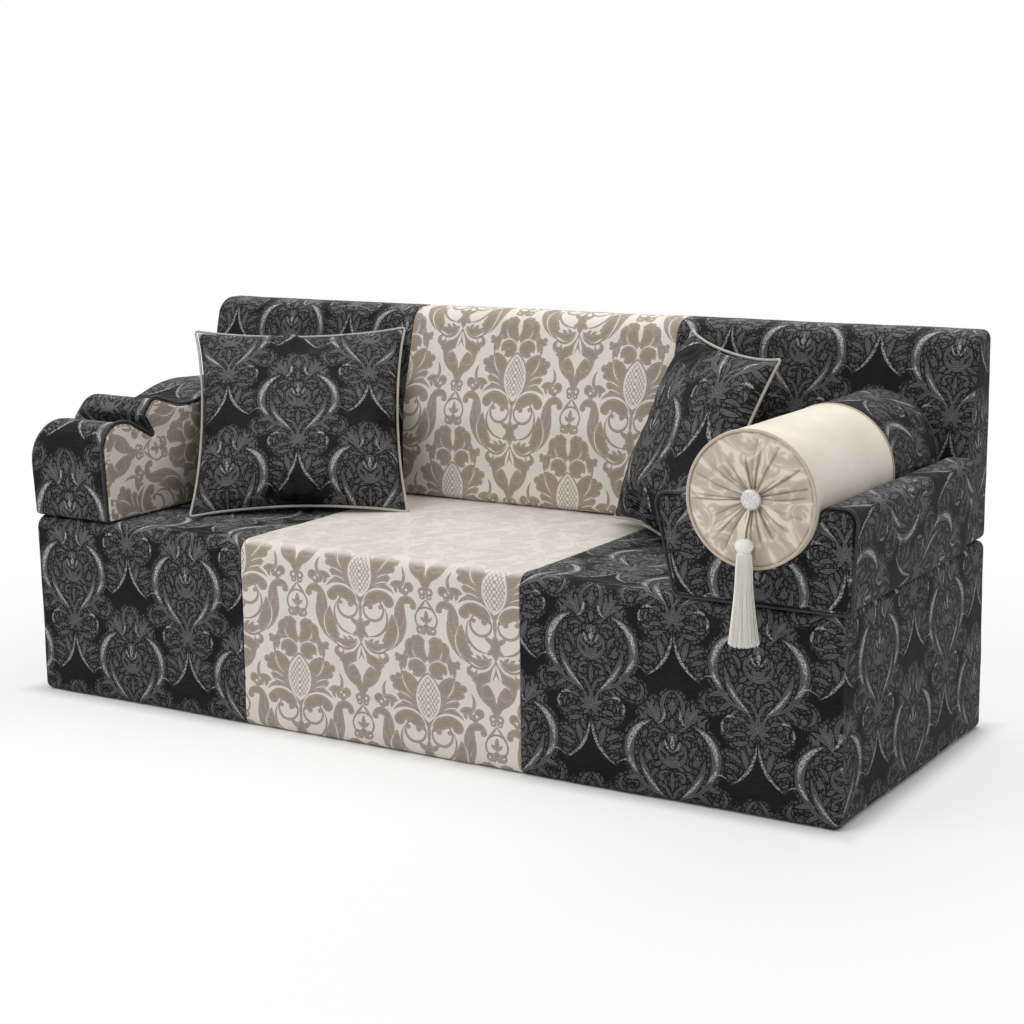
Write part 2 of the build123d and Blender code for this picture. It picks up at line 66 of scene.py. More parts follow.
TURN = 2 * math.pi
QUARTER = math.pi / 2
ALONG_X = Vector((1, 0, 0))
ALONG_Y = Vector((0, 1, 0))
DOWN = Vector((0, 0, -1))
YZ = [1, 2]
XZ = [0, 2]
FIRM = 0.95


def unit(v):
    return v / np.linalg.norm(v)


def turned(v, angle):
    c, s = math.cos(angle), math.sin(angle)
    return np.array([c * v[0] - s * v[1], s * v[0] + c * v[1]])


def around(angle, radius=1.0):
    return radius * np.array([math.cos(angle), math.sin(angle)])


def waves(points, scale, seed, count=12):
    """Smooth repeatable noise from about -1 to 1, made of crossing waves."""
    rng = np.random.default_rng(seed)
    total = np.zeros(len(points))
    for _ in range(count):
        way = unit(rng.normal(size=3))
        total += np.sin(points @ way * rng.uniform(0.6, 1.6) * TURN / scale + rng.uniform(0, 6.3))
    return total / np.sqrt(count)


def smooth(x):
    x = np.clip(x, 0, 1)
    return x * x * (3 - 2 * x)


def outline(points, radii, step, counts=None):
    """A closed line with rounded corners. The counts of one call keep the next in step."""
    points = [np.array(p, float) for p in points]
    arcs = []
    for n, (p, radius) in enumerate(zip(points, radii)):
        a = unit(points[n - 1] - p)
        b = unit(points[(n + 1) % len(points)] - p)
        between = np.arccos(np.clip(a @ b, -1, 1))
        centre = p + unit(a + b) * radius / np.sin(between / 2)
        start = p + a * radius / np.tan(between / 2) - centre
        turn = (np.pi - between) * np.sign(a[1] * b[0] - a[0] * b[1])
        arcs.append((centre, start, turn, radius))
    afters = arcs[1:] + arcs[:1]
    if counts is None:
        counts = []
        for (centre, start, turn, radius), after in zip(arcs, afters):
            bends = max(4, int(np.ceil(abs(turn) * radius / step * 2)))
            run = np.linalg.norm(after[0] + after[1] - (centre + turned(start, turn)))
            counts.append((bends, max(1, int(round(run / step)))))
    line = []
    for (centre, start, turn, _), after, (bends, runs) in zip(arcs, afters, counts):
        line += [centre + turned(start, turn * k / bends) for k in range(bends + 1)]
        end, begin = line[-1], after[0] + after[1]
        line += [end + (begin - end) * k / runs for k in range(1, runs)]
    return np.array(line), counts


def inset(line, amount):
    """A closed line drawn in by an amount, along its corners' inward normals."""
    ahead = np.roll(line, -1, 0) - line
    ahead /= np.maximum(np.linalg.norm(ahead, axis=1), 1e-9)[:, None]
    way = ahead + np.roll(ahead, 1, 0)
    way /= np.maximum(np.linalg.norm(way, axis=1), 1e-9)[:, None]
    area = np.sum(line[:, 0] * np.roll(line[:, 1], -1) - np.roll(line[:, 0], -1) * line[:, 1])
    return line + np.stack([-way[:, 1], way[:, 0]], 1) * np.sign(area) * amount


def edge_distance(points, line):
    """How far inside a closed line each point lies; negative outside."""
    a, b = line, np.roll(line, -1, 0)
    ab = b - a
    t = ((points[:, None] - a) * ab).sum(-1) / np.maximum((ab * ab).sum(-1), 1e-12)
    near = a + np.clip(t, 0, 1)[..., None] * ab
    distance = np.linalg.norm(points[:, None] - near, axis=-1).min(1)
    crosses = (a[:, 1] > points[:, None, 1]) != (b[:, 1] > points[:, None, 1])
    rise = np.where(np.abs(ab[:, 1]) < 1e-12, 1e-12, ab[:, 1])
    at = a[:, 0] + (points[:, None, 1] - a[:, 1]) / rise * ab[:, 0]
    inside = (crosses & (points[:, None, 0] < at)).sum(1) % 2 == 1
    return np.where(inside, distance, -distance)


def cap(ring, axes, step, dome, outward):
    """Fills a ring with triangles on a grid, bulged by dome. Gives new points and faces."""
    clear = 0.55 * step
    soft_edge = 0.07
    flat = ring[:, axes]
    low, high = flat.min(0), flat.max(0)
    grid = [np.arange(low[k] + step / 2, high[k], step) for k in (0, 1)]
    grid = np.stack(np.meshgrid(*grid), -1).reshape(-1, 2)
    depth = np.concatenate([edge_distance(part, flat) for part in np.array_split(grid, 8)])
    grid, depth = grid[depth > clear], depth[depth > clear]
    corners = [Vector(p) for p in np.vstack([flat, grid])]
    spots, _, triangles, origins, *_ = delaunay_2d_cdt(corners, [], [list(range(len(ring)))], 1, 1e-8)
    given = np.array([c[:] for c in corners])
    sources = []
    for origin, spot in zip(origins, spots):
        nearest = int(np.argmin(((given - np.array(spot[:])) ** 2).sum(1)))
        sources.append(origin[0] if origin else nearest)
    faces = [[sources[v] for v in f] for f in triangles]
    faces = [f for f in faces if len(set(f)) == 3]
    third = 3 - sum(axes)  # the axis that the ring faces along
    design = np.column_stack([flat, np.ones(len(flat))])
    plane = np.linalg.lstsq(design, ring[:, third], rcond=None)[0]
    points = np.zeros((len(grid), 3))
    points[:, axes] = grid
    points[:, third] = np.column_stack([grid, np.ones(len(grid))]) @ plane
    points[:, third] += outward * dome * smooth(depth / soft_edge)
    return points, faces


def placed(name, data):
    obj = bpy.data.objects.new(name, data)
    bpy.context.scene.collection.objects.link(obj)
    return obj


def read(items, key, width, kind=float):
    """One value of each item, such as each vertex's place, as rows of an array."""
    values = np.zeros(len(items) * width, kind)
    items.foreach_get(key, values)
    return values.reshape(-1, width)


def make(name, material, points, faces, corner_uv=None, angle=50):
    """A mesh object with smooth shading and, for cloth, a map in metres."""
    mesh = bpy.data.meshes.new(name)
    mesh.from_pydata(np.asarray(points).tolist(), [], [list(map(int, f)) for f in faces])
    if corner_uv is not None:
        layer = mesh.uv_layers.new(name="cloth")
        layer.data.foreach_set("uv", np.asarray(corner_uv, np.float32).ravel())
    work = bmesh.new()
    work.from_mesh(mesh)
    bmesh.ops.recalc_face_normals(work, faces=work.faces)
    work.to_mesh(mesh)
    work.free()
    mesh.shade_smooth()
    mesh.set_sharp_from_angle(angle=math.radians(angle))
    if material:
        mesh.materials.append(material)
    return placed(name, mesh)


def quads(count, size, at=lambda i, j: (0, 0), first=0, closed=False):
    """Faces between neighbouring rings of points, and at(ring, place) for their corners."""
    faces, uv = [], []
    for i in range(count if closed else count - 1):
        n = (i + 1) % count
        for j in range(size):
            k = (j + 1) % size
            faces.append([first + v for v in (i * size + j, i * size + k, n * size + k, n * size + j)])
            uv += [at(i, j), at(i, j + 1), at(i + 1, j + 1), at(i + 1, j)]
    return faces, uv


def bar(name, material, rings, axes, step, domes=(0, 0)):
    """A closed form through rings of points, filled at both ends. The cloth's map runs
    across the rings and along them, and over a cap it is that cap's own plane."""
    rings = np.array(rings)
    count, size = rings.shape[:2]
    middle = rings[count // 2]
    along = np.concatenate([[0], np.cumsum(np.linalg.norm(np.roll(middle, -1, 0) - middle, axis=1))])
    across = rings[:, :, 3 - sum(axes)].mean(1)
    faces, uv = quads(count, size, lambda i, j: (across[i], along[j]))
    points = [rings.reshape(-1, 3)]
    total = count * size
    for end, dome in zip((0, count - 1), domes):
        outward = np.sign(across[end] - across[count // 2])
        more, triangles = cap(rings[end], axes, step, dome, outward)
        points.append(more)
        flat = np.vstack([rings[end], more])
        for f in triangles:
            faces.append([end * size + v if v < size else total + v - size for v in f])
            uv += [flat[v][axes] for v in f]
        total += len(more)
    return make(name, material, np.vstack(points), faces, uv)


def ease(obj, *swells, sink=0.0):
    """Moves each point along its normal by swells of a height, a length and a seed."""
    vertices = obj.data.vertices
    where = read(vertices, "co", 3)
    push = sum(height * waves(where, length, seed) for height, length, seed in swells) - sink
    where = where + read(vertices, "normal", 3) * push[:, None]
    vertices.foreach_set("co", where.ravel())
    obj.data.update()


def tube(name, material, line, radius, closed=False, sides=10):
    """A round tube along a line of points."""
    line = np.array(line, float)
    if closed:
        ahead = np.roll(line, -1, 0) - np.roll(line, 1, 0)
    else:
        ahead = np.gradient(line, axis=0)
    ahead /= np.linalg.norm(ahead, axis=1)[:, None]
    steep = abs(ahead[0, 2]) >= 0.9
    side = unit(np.cross(ahead[0], (0.0, 1.0, 0.0) if steep else (0.0, 0.0, 1.0)))
    points = []
    for p, t in zip(line, ahead):
        side = unit(side - t * (side @ t))
        other = np.cross(t, side)
        for k in range(sides):
            c, s = around(TURN * k / sides)
            points.append(p + (side * c + other * s) * radius)
    along = np.concatenate([[0], np.cumsum(np.linalg.norm(np.roll(line, -1, 0) - line, axis=1))])
    girth = TURN * radius / sides
    faces, uv = quads(len(line), sides, lambda i, j: (along[i], j * girth), closed=closed)
    if not closed:
        faces.append(list(range(sides))[::-1])
        faces.append([(len(line) - 1) * sides + j for j in range(sides)])
        uv += [(0, 0)] * (2 * sides)
    return make(name, material, points, faces, uv)


def settle(obj, body, slot, *replaced, fill=None):
    """Attaches a finished piece to what it rides on and hides the parts that it stands for.
    The slot, meant as its finish, is not used, and nor is fill, meant as how much of a padded piece is
    filling."""
    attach(obj, body)
    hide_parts(*replaced)


def at_x(x, line):
    return np.column_stack([np.full(len(line), x), line])


def long_rings(line, low, high, low_round, high_round, step):
    """Rings of a block along X. A rounded end draws the outline in by its radius; the
    other ends are drawn in a little, as at a sewn seam."""
    seam = 0.0016
    seam_rows = ((0.1, 1.0), (0.4, 0.5), (1.2, 0.12), (2.4, 0.0))
    seam_deep = seam_rows[-1][0] * seam

    def end(radius):
        if not radius:
            return [(seam * x, seam * y) for x, y in seam_rows]
        arcs = [around(a, radius) for a in np.linspace(0, QUARTER, 7)]
        return [(radius - c, radius - s) for c, s in arcs]

    begin = low + (low_round or seam_deep)
    finish = high - (high_round or seam_deep)
    runs = max(2, int(round((finish - begin) / step)))
    stations = [(low + x, amount) for x, amount in end(low_round)]
    stations += [(begin + (finish - begin) * k / runs, 0.0) for k in range(1, runs)]
    stations += [(high - x, amount) for x, amount in end(high_round)[::-1]]
    return [at_x(x, inset(line, amount)) for x, amount in stations]


def facing(where, x, y, z):
    """The matrix of an object at a place, with its own axes along three directions."""
    matrix = Matrix([list(x), list(y), list(z)]).transposed().to_4x4()
    matrix.translation = where
    return matrix


def place_camera():
    """The camera stands where the photograph's did."""
    yaw, pitch, roll = math.radians(31.91), math.radians(10.97), math.radians(-0.71)
    stand = (2.2974, -3.6023, 1.2510)
    sensor = 36.0
    focal_pixels, photo_pixels = 2071, 1024
    ahead = np.array([-math.sin(yaw) * math.cos(pitch), math.cos(yaw) * math.cos(pitch), -math.sin(pitch)])
    side = np.array([math.cos(yaw), math.sin(yaw), 0.0])
    above = np.cross(side, ahead)
    right = side * math.cos(roll) + above * math.sin(roll)
    up = above * math.cos(roll) - side * math.sin(roll)
    data = bpy.data.cameras.new("camera")
    data.sensor_width = sensor
    data.lens = sensor * focal_pixels / photo_pixels
    camera = placed("camera", data)
    camera.matrix_world = facing(stand, right, up, -ahead)
    bpy.context.scene.camera = camera


place_camera()

# Half of each damask motif, in centimetres from its middle: g is woven, k is ground
# showing through and s is silver
DARK_MOTIF = {
    ("g", "curl"): (
        (3.9, 7, 5.6, -5.2, 5, 3.1), (6.6, 0.8, 0.9, -8.7, 1.9, 0.5), (9, -1.2, 2.4, -7.6, 1.5, 0.7),
        (3.4, 6.6, 5.9, 7.8, 1.5, 0.8), (2, 3.2, -2, 3.2, 5.1, 4), (2.9, 1.2, 1.5, 3.4, 0.55, -0.15),
        (0.3, 0.6, 2.6, 2.9, -0.9, -0.35), (3.7, 0.3, 5.2, 2.9, 0.9, 0.1), (5.2, 1.2, 4, -1, 0.5, -0.2),
        (2, 4.4, 4.6, 4.4, 1, 0.4), (0.5, -3, 2.6, -4.2, 1, 0.5), (2.9, -2.4, 4.1, -4.2, 0.6, -0.2),
        (0.1, -8.6, 1.8, -5.3, 0.6, -0.1), (1, 7.2, 0, 13.3, -1.2, -2), (2.6, 6, 5.4, 10.4, 1.1, -0.4),
        (3.2, 6.8, 6.8, 9.2, 0.8, -0.1), (6.4, -12.2, 4.4, -12.5, 0.66, 0.1),
        (5.1, -9.9, 5.5, -11.6, 0.6, 0.1), (2.5, -9.6, 4.3, -9, 0.7, -0.1),
        (2.2, -12, 4.9, -12.4, 0.7, -0.1), (4.9, -13.8, 1.8, -13.2, 0.7, -0.2),
        (2.2, -18.6, 3.2, -14.6, 0.9, -0.3), (3.2, -17.6, 6.3, -16, 0.8, -0.1),
        (3.6, -19.2, 6.4, -18.2, 0.7, -0.1), (9.9, -5, 9.2, -8.6, 1.5, 0.8),
        (5.6, -4.6, 9.6, -5.4, 0.7, -0.3), (4.6, -6.2, 7.6, -8.2, 0.7, -0.2),
        (7.2, 8.6, 6.6, 6.4, -0.9, -0.4), (3.6, -7.4, 5.4, -9, 0.5, -0.1),
    ),
    ("g", "disc"): (
        (5.6, 7.4, 0.55), (0, 4.4, 0.55), (0, -0.2, 0.6), (2.2, -4.2, 0.5), (0, -10.9, 0.7),
        (4.3, -9.7, 0.42), (8.7, -7.9, 0.6),
    ),
    ("g", "leaf"): (
        (0.75, 3.2, 0.7, 5, 0.3), (0, -0.9, 1.3, 0.5, 0.5), (2.7, 3.9, 3.6, 2.6, 0.4),
        (0, -2.6, 0, -6.6, 0.42), (0, 5.4, 0, 7.8, 0.5), (0, 8.4, 0, 11.6, 0.6),
        (0, 9.4, 0.9, 10.4, 0.35), (2.7, 6.8, 3.3, 10.6, 0.5), (0, -10.9, 0, -7.7, 0.45),
        (0.2, -10.9, 1.6, -8.3, 0.42), (0.3, -11, 2.5, -9.7, 0.42), (0.3, -11.2, 2.4, -11.5, 0.36),
        (0.2, -11.4, 1.6, -12.8, 0.36), (1.2, -15.8, 2, -13.6, 0.4), (4.6, -20.8, 6.4, -20.2, 0.3),
        (2.2, -0.9, 3.6, -2, 0.4), (1.1, -1.7, 2.4, -2.3, 0.33), (4.6, -1.2, 5.6, 0.4, 0.35),
        (1.3, 5.4, 2.6, 6.2, 0.35), (1.5, -6, 2.9, -4.9, 0.35), (5.9, 3.2, 5.2, 5, 0.4),
        (4.3, 9.4, 4, 11.2, 0.35),
    ),
    ("s", "curl"): (
        (4.5, 6.6, 8.9, -0.3, 1.9, 0.9), (8.9, -0.6, 7, -3.8, 0.55, -0.05),
        (6.2, -2.4, 1.5, -7.9, 0.55, 0.05), (0.1, 1.2, 1.45, 3.5, -0.62, -0.2),
        (2.9, 6.4, 1.7, 9.7, 0.9, 0.4), (4.2, -9, 6.4, -9.3, 0.62, 0.1),
        (6.5, -9.5, 6.6, -12, 0.66, 0.12), (5.4, -22.1, 0.2, -13.3, 1.75, 1.15),
        (7.2, -3.9, 11.4, -3.2, 1.9, 1.65),
    ),
    ("s", "leaf"): (
        (0, 1.3, 0, 4.4, 0.42),
    ),
}

# The lattice of the cream motif's teardrop is added by its own nodes
CREAM_MOTIF = {
    ("g", "curl"): (
        (1, -6.6, 8.4, -4.2, 3.6, 2.2), (0.9, -7.8, 8, -5.2, 2.9, 0.15),
        (5.3, -6.7, 0.9, -13.9, 3.55, 2.95), (0.9, -14.9, 5.9, -15.1, -2.2, -0.5),
        (6.9, -15, 0.7, -15.2, 2.75, 2.2), (7.6, -8.4, 5.2, -16.5, 2.6, -0.25),
        (9.9, -4.3, 9.4, -12, 1.2, -1.45), (10.9, -8, 5.6, -17, 2.15, 0.45),
        (9.8, 2.3, 8.8, -2.9, 1.75, 0.95), (0.1, -15.4, 6.4, -18.9, -3.5, -1.35),
    ),
    ("g", "disc"): (
        (5.4, 4.15, 0.85), (6.9, 3.55, 0.85), (8.25, 2.85, 0.85), (7.7, 1.3, 0.8), (2.45, 6.2, 2.15),
        (2.8, 12.4, 0.85), (3.9, 11.6, 0.85), (4.25, 10.1, 0.8), (7.1, 8.2, 0.62), (6.9, -5.9, 1.3),
        (4.9, -5.6, 0.65), (3.1, -6.1, 0.85), (2.4, -7.4, 0.7), (4.85, -7.3, 0.5), (12.75, -6.1, 0.75),
        (11.8, -2.05, 1.15), (10.9, -3.1, 0.9), (10, -2.95, 0.65), (4.2, -20.5, 0.85), (3.1, -22.2, 0.85),
        (2.1, -23.8, 0.8), (0.95, -25.3, 0.75), (0, -36, 0.9),
    ),
    ("g", "leaf"): (
        (-0.35, 5.6, 3.4, -0.4, 0.9), (4, 0.6, 0, -7, 1), (0, -5.2, 0, -10.8, 0.42),
        (2, 0.6, 6.4, 4.9, 1.5), (2.8, -0.8, 8.6, 3.2, 1.7), (2.8, -2, 7.5, -0.4, 1.25),
        (0.5, 7.4, 2.1, 13.5, 1.7), (1.2, 7.2, 4.9, 11.9, 1.9), (4.3, 8.3, 7.7, 7.2, 0.8),
        (5.2, 9.8, 5.5, 5.2, 0.6), (6, 8.2, 6.3, 4.8, 0.55), (0, -9.8, 0, -15.6, 1.15),
        (0, -12.2, 2.5, -10.5, 0.6), (0, -12.9, 1.9, -14.4, 0.6), (1.6, -15.9, 3.1, -14.5, 0.42),
        (2.9, -15.9, 4.5, -14.7, 0.4), (7.2, -10.9, 6, -12.5, 0.4), (7, -12.4, 5.6, -13.8, 0.4),
        (6.8, -13.5, 5.1, -14.8, 0.42), (7.2, -2, 10.7, -1.3, 0.8), (8.3, -1.6, 8.9, -3.7, 0.45),
        (0.2, -18.6, 5.6, -20.4, 1.2), (4.6, -19.6, 0.3, -26, 1.7), (1.6, -21.6, 0, -27.8, 1),
        (-0.25, -29.4, 2.7, -33.4, 0.32), (0, -32, 0, -35.4, 0.55), (0, -34.8, 1.35, -33.6, 0.4),
        (0, -36.8, 2.2, -38.2, 0.4),
    ),
    ("g", "moon"): (
        (3.2, -8.15, 2.65, 3.15, -7.95, 2.2), (11.3, -6.2, 2.25, 11.7, -7.8, 2.1),
        (5.5, -18.4, 1.25, 5.1, -18, 0.55), (0.8, -28.1, 0.95, 0.85, -28.1, 0.32),
        (0.75, -29.1, 0.7, 0.8, -29.1, 0.25), (0, -34, 2.75, 0, -34, 2.3),
        (1.4, -36.4, 1, 1.5, -36.3, 0.35),
    ),
    ("k", "curl"): (
        (4.1, 0.2, 6.1, 4.4, -0.45, -0.7), (4, -1, 7.2, 0.2, 0.35, 0.1),
        (3.4, -2.6, 7.6, -1.9, 0.65, 0.4), (0.35, 6.2, 4.9, 5.5, 2.45, 2.15),
        (2.3, 8.2, 3.4, 10.4, -0.3, -0.5), (0.5, -8, 8.5, -5, 3.4, 3.05),
        (8, -8.9, 6.4, -16.7, 1.95, 1.68), (0.5, -22, 3.4, -21.7, 1.2, 0.98),
    ),
    ("k", "disc"): (
        (3.85, 4.95, 0.45), (11.2, -2.7, 0.32),
    ),
    ("k", "leaf"): (
        (0, 4.9, 0, -5.7, 2.9), (0, 8.7, 0, 13.4, 0.55), (0.05, -16.2, 1.3, -20.3, 0.33),
        (1.3, -20.1, 0, -21.9, 0.17), (0, -21.4, 0, -24.8, 0.26),
    ),
}


class Value:
    """What a node gives. Arithmetic with it adds the nodes that work it out."""

    def __init__(self, socket):
        self.socket = socket

    def __add__(self, other):
        return calc("ADD", self, other)

    def __sub__(self, other):
        return calc("SUBTRACT", self, other)

    def __rsub__(self, other):
        return calc("SUBTRACT", other, self)

    def __mul__(self, other):
        return calc("MULTIPLY", self, other)

    def __truediv__(self, other):
        return calc("DIVIDE", self, other)


def wire(socket, value):
    """Links a socket to another's output, or sets it to a number, a colour or a vector."""
    if isinstance(value, Value):
        socket.id_data.links.new(value.socket, socket)
    elif socket.type == "RGBA":
        socket.default_value = (*value, 1)
    else:
        socket.default_value = value


def dress(node, inputs, **settings):
    """Gives a node its settings and its inputs, which come in order or by name."""
    for key, value in settings.items():
        setattr(node, key, value)
    for key, value in inputs.items() if isinstance(inputs, dict) else enumerate(inputs):
        wire(node.inputs[key], value)
    return node


def add(tree, kind, inputs=(), pick=0, **settings):
    """A new node, of which one output is picked."""
    node = dress(tree.nodes.new("ShaderNode" + kind), inputs, **settings)
    return Value(node.outputs[pick])


def calc(operation, *values):
    tree = next(v.socket.id_data for v in values if isinstance(v, Value))
    return add(tree, "Math", values, operation=operation)


def sweep(value, *limits):
    """Goes smoothly from the third to the fourth limit between the first two."""
    return add(value.socket.id_data, "MapRange", (value, *limits), interpolation_type="SMOOTHSTEP")


def mixed(amount, a, b):
    tree = next(v.socket.id_data for v in (amount, a) if isinstance(v, Value))
    return add(tree, "Mix", {0: amount, 6: a, 7: b}, 2, data_type="RGBA")


def vector(operation, inputs, pick=0):
    return add(inputs[0].socket.id_data, "VectorMath", inputs, pick, operation=operation)


def stretch(where, scale, shift=(0, 0, 0)):
    return vector("MULTIPLY_ADD", (where, scale, shift))


def distance(where, x, y):
    return vector("DISTANCE", (where, (x, y, 0)), "Value")


def parts(where):
    split = add(where.socket.id_data, "SeparateXYZ", (where,)).socket.node
    return [Value(output) for output in split.outputs]


def combined(*values):
    return add(values[0].socket.id_data, "CombineXYZ", values)


def noise(where, scale, detail=2.0, dimensions="2D", shift=(0, 0, 0)):
    inputs = {"Vector": stretch(where, scale, shift), "Scale": 1, "Detail": detail}
    return add(where.socket.id_data, "TexNoise", inputs, noise_dimensions=dimensions)


def arc(ax, ay, bx, by, bulge):
    """The circle through two points that bulges by so much to their left."""
    half = math.hypot(bx - ax, by - ay) / 2
    nx, ny = -(by - ay) / (2 * half), (bx - ax) / (2 * half)
    radius = (half * half + bulge * bulge) / (2 * abs(bulge))
    off = bulge - math.copysign(radius, bulge)
    return (ax + bx) / 2 + nx * off, (ay + by) / 2 + ny * off, radius


def shape(where, kind, v):
    """How far outside one shape of a motif each point lies, negative inside. A moon is a
    circle without another, a leaf lies between two arcs, and a curl is a bent leaf."""
    if kind == "disc":
        return distance(where, v[0], v[1]) - v[2]
    if kind == "moon":
        outer, inner, hollow = v[:3], v[3:], True
    elif kind == "leaf":
        outer, inner, hollow = arc(*v[:4], v[4]), arc(*v[:4], -v[4]), False
    else:
        bulges = sorted(v[4:], key=abs)
        outer, inner = arc(*v[:4], bulges[1]), arc(*v[:4], bulges[0])
        hollow = bulges[0] * bulges[1] > 0
    far = distance(where, *outer[:2]) - outer[2]
    near = distance(where, *inner[:2])
    return calc("MAXIMUM", far, inner[2] - near if hollow else near - inner[2])


def add_lattice(woven, where, across, up):
    """Fills the cream motif's teardrop with crossing threads."""
    pitch, thread, slant, margin = 0.42, 0.1, 0.6, 0.4
    positive = 20
    teardrop = (0, 4.9, 0, -5.6, 2.9)
    slanted = up * slant
    lines = [calc("PINGPONG", slanted * way + across + positive, pitch) for way in (1, -1)]
    tear = shape(where, "leaf", teardrop) + margin
    return calc("MINIMUM", woven, calc("MAXIMUM", calc("MINIMUM", *lines) - thread, tear))


def make_design(name, motif, wide, high, top, border):
    """A node group of a half-drop damask. It takes cloth centimetres and gives how far
    outside the woven motif and the silver each point lies."""
    tree = bpy.data.node_groups.new(name, "ShaderNodeTree")
    tree.interface.new_socket("Cloth", in_out="INPUT", socket_type="NodeSocketVector")
    for label in ("Woven", "Silver"):
        tree.interface.new_socket(label, in_out="OUTPUT", socket_type="NodeSocketFloat")
    x, y, _ = parts(Value(tree.nodes.new("NodeGroupInput").outputs[0]))
    across = calc("PINGPONG", x, wide / 2)
    turns = (top - y) / high
    edge = add(tree, "FloatCurve", {"Value": calc("FRACT", turns)})
    curve = edge.socket.node.mapping
    points = curve.curves[0].points
    for _ in border[2:]:
        points.new(0.5, 0.5)
    for point, (level, reach) in zip(points, border):
        point.location = ((top - level) / high, 2 * reach / wide)
        point.handle_type = "VECTOR"
    curve.update()
    own = calc("LESS_THAN", across, edge * (wide / 2))
    row = calc("FRACT", turns + (0.5 - own * 0.5))
    across = own * across + (wide / 2 - across) * (1 - own)
    up = top - row * high
    where = combined(across, up)
    found = {}
    for (layer, kind), shapes in motif.items():
        for v in shapes:
            far = shape(where, kind, v)
            found[layer] = calc("MINIMUM", found[layer], far) if layer in found else far
    woven = found["g"]
    if "k" in found:
        woven = add_lattice(calc("MAXIMUM", woven, 0 - found["k"]), where, across, up)
    dress(tree.nodes.new("NodeGroupOutput"), (woven, found.get("s", 1.0)))
    return tree


# The line between a motif and its neighbours: how far up it is and how far out
DARK_BORDER = (
    (13.4, 2.6), (9, 7), (5, 9.4), (0, 10.4), (-3.25, 11.4), (-5.35, 14.2), (-9.75, 9.8),
    (-13.75, 7.4), (-18.75, 6.4), (-22, 5.4), (-24.1, 2.6),
)
CREAM_BORDER = (
    (13.6, 3.9), (12, 4.8), (10.5, 5.7), (9, 7.9), (7.1, 8.5), (3, 10.6), (0.5, 12.2), (-2, 13.5),
    (-4, 13.9), (-6.3, 13.85), (-8.5, 12.9), (-10.5, 12.5), (-11.9, 11.9), (-13.5, 11),
    (-15, 10.1), (-16.5, 7.9), (-18.4, 7.3), (-22.5, 5.2), (-25, 3.6), (-27.5, 2.3),
    (-29.5, 1.9), (-31.8, 1.95), (-34, 2.9), (-36, 3.3), (-37.4, 3.9),
)
# A design's width, its height and where its rows start, in centimetres, and its border
DARK_DESIGN = make_design("dark_design", DARK_MOTIF, 33.6, 37.5, 13.4, DARK_BORDER)
CREAM_DESIGN = make_design("cream_design", CREAM_MOTIF, 31.6, 51.0, 13.6, CREAM_BORDER)


def fabric(name, rough, sheen=0.0, specular=0.3, mapped=True):
    """A new material with its shader, and where on the cloth or the object a point lies."""
    material = bpy.data.materials.new(name)
    material.use_nodes = True
    tree = material.node_tree
    inputs = {
        "Roughness": rough,
        "Sheen Weight": sheen,
        "Sheen Roughness": 0.4,
        "Specular IOR Level": specular,
    }
    shader = dress(tree.nodes["Principled BSDF"], inputs)
    if mapped:
        return material, shader, add(tree, "UVMap", uv_map="cloth")
    return material, shader, add(tree, "TexCoord", pick="Object")


def coat(shader, colour, rough, height, strength, depth):
    """Gives a shader its colour, its roughness and the relief of its threads."""
    relief = {"Strength": strength, "Distance": depth, "Height": height}
    bump = add(shader.id_data, "Bump", relief)
    dress(shader, {"Base Color": colour, "Roughness": rough, "Normal": bump})


def threads(cloth, pitch):
    """The height of a plain weave."""
    x, y, _ = parts(cloth)
    return calc("SINE", x * (TURN / pitch)) * calc("SINE", y * (TURN / pitch))


def facing_up(shader, low, high, amount):
    """How much a surface faces up, as it is posed."""
    normal = add(shader.id_data, "NewGeometry", pick="Normal")
    return sweep(parts(normal)[2], low, high, 0, amount)


def lay_design(cloth, design, jag):
    """A design in centimetres on the cloth, its edges frayed sideways by jag."""
    centimetres = (100, 100, 0)
    where = vector("ADD", (stretch(cloth, centimetres), combined(jag)))
    group = dress(cloth.socket.id_data.nodes.new("ShaderNodeGroup"), (where,), node_tree=design)
    return [Value(output) for output in group.outputs]


def band(woven, inside, low, high):
    """Is 1 along a line so far inside the motif's edge, and 0 beside it."""
    return sweep(calc("ABSOLUTE", woven + inside), low, high, 1, 0)


DARK_TINT = (1.0, 0.985, 1.02)
WOVEN_TONE = 0.108
SILVER_TONE = 0.34
FILLER_TONE = 0.55
# How bright the painted sheen on upward faces is
TOP_SHEEN_TONE = 0.05


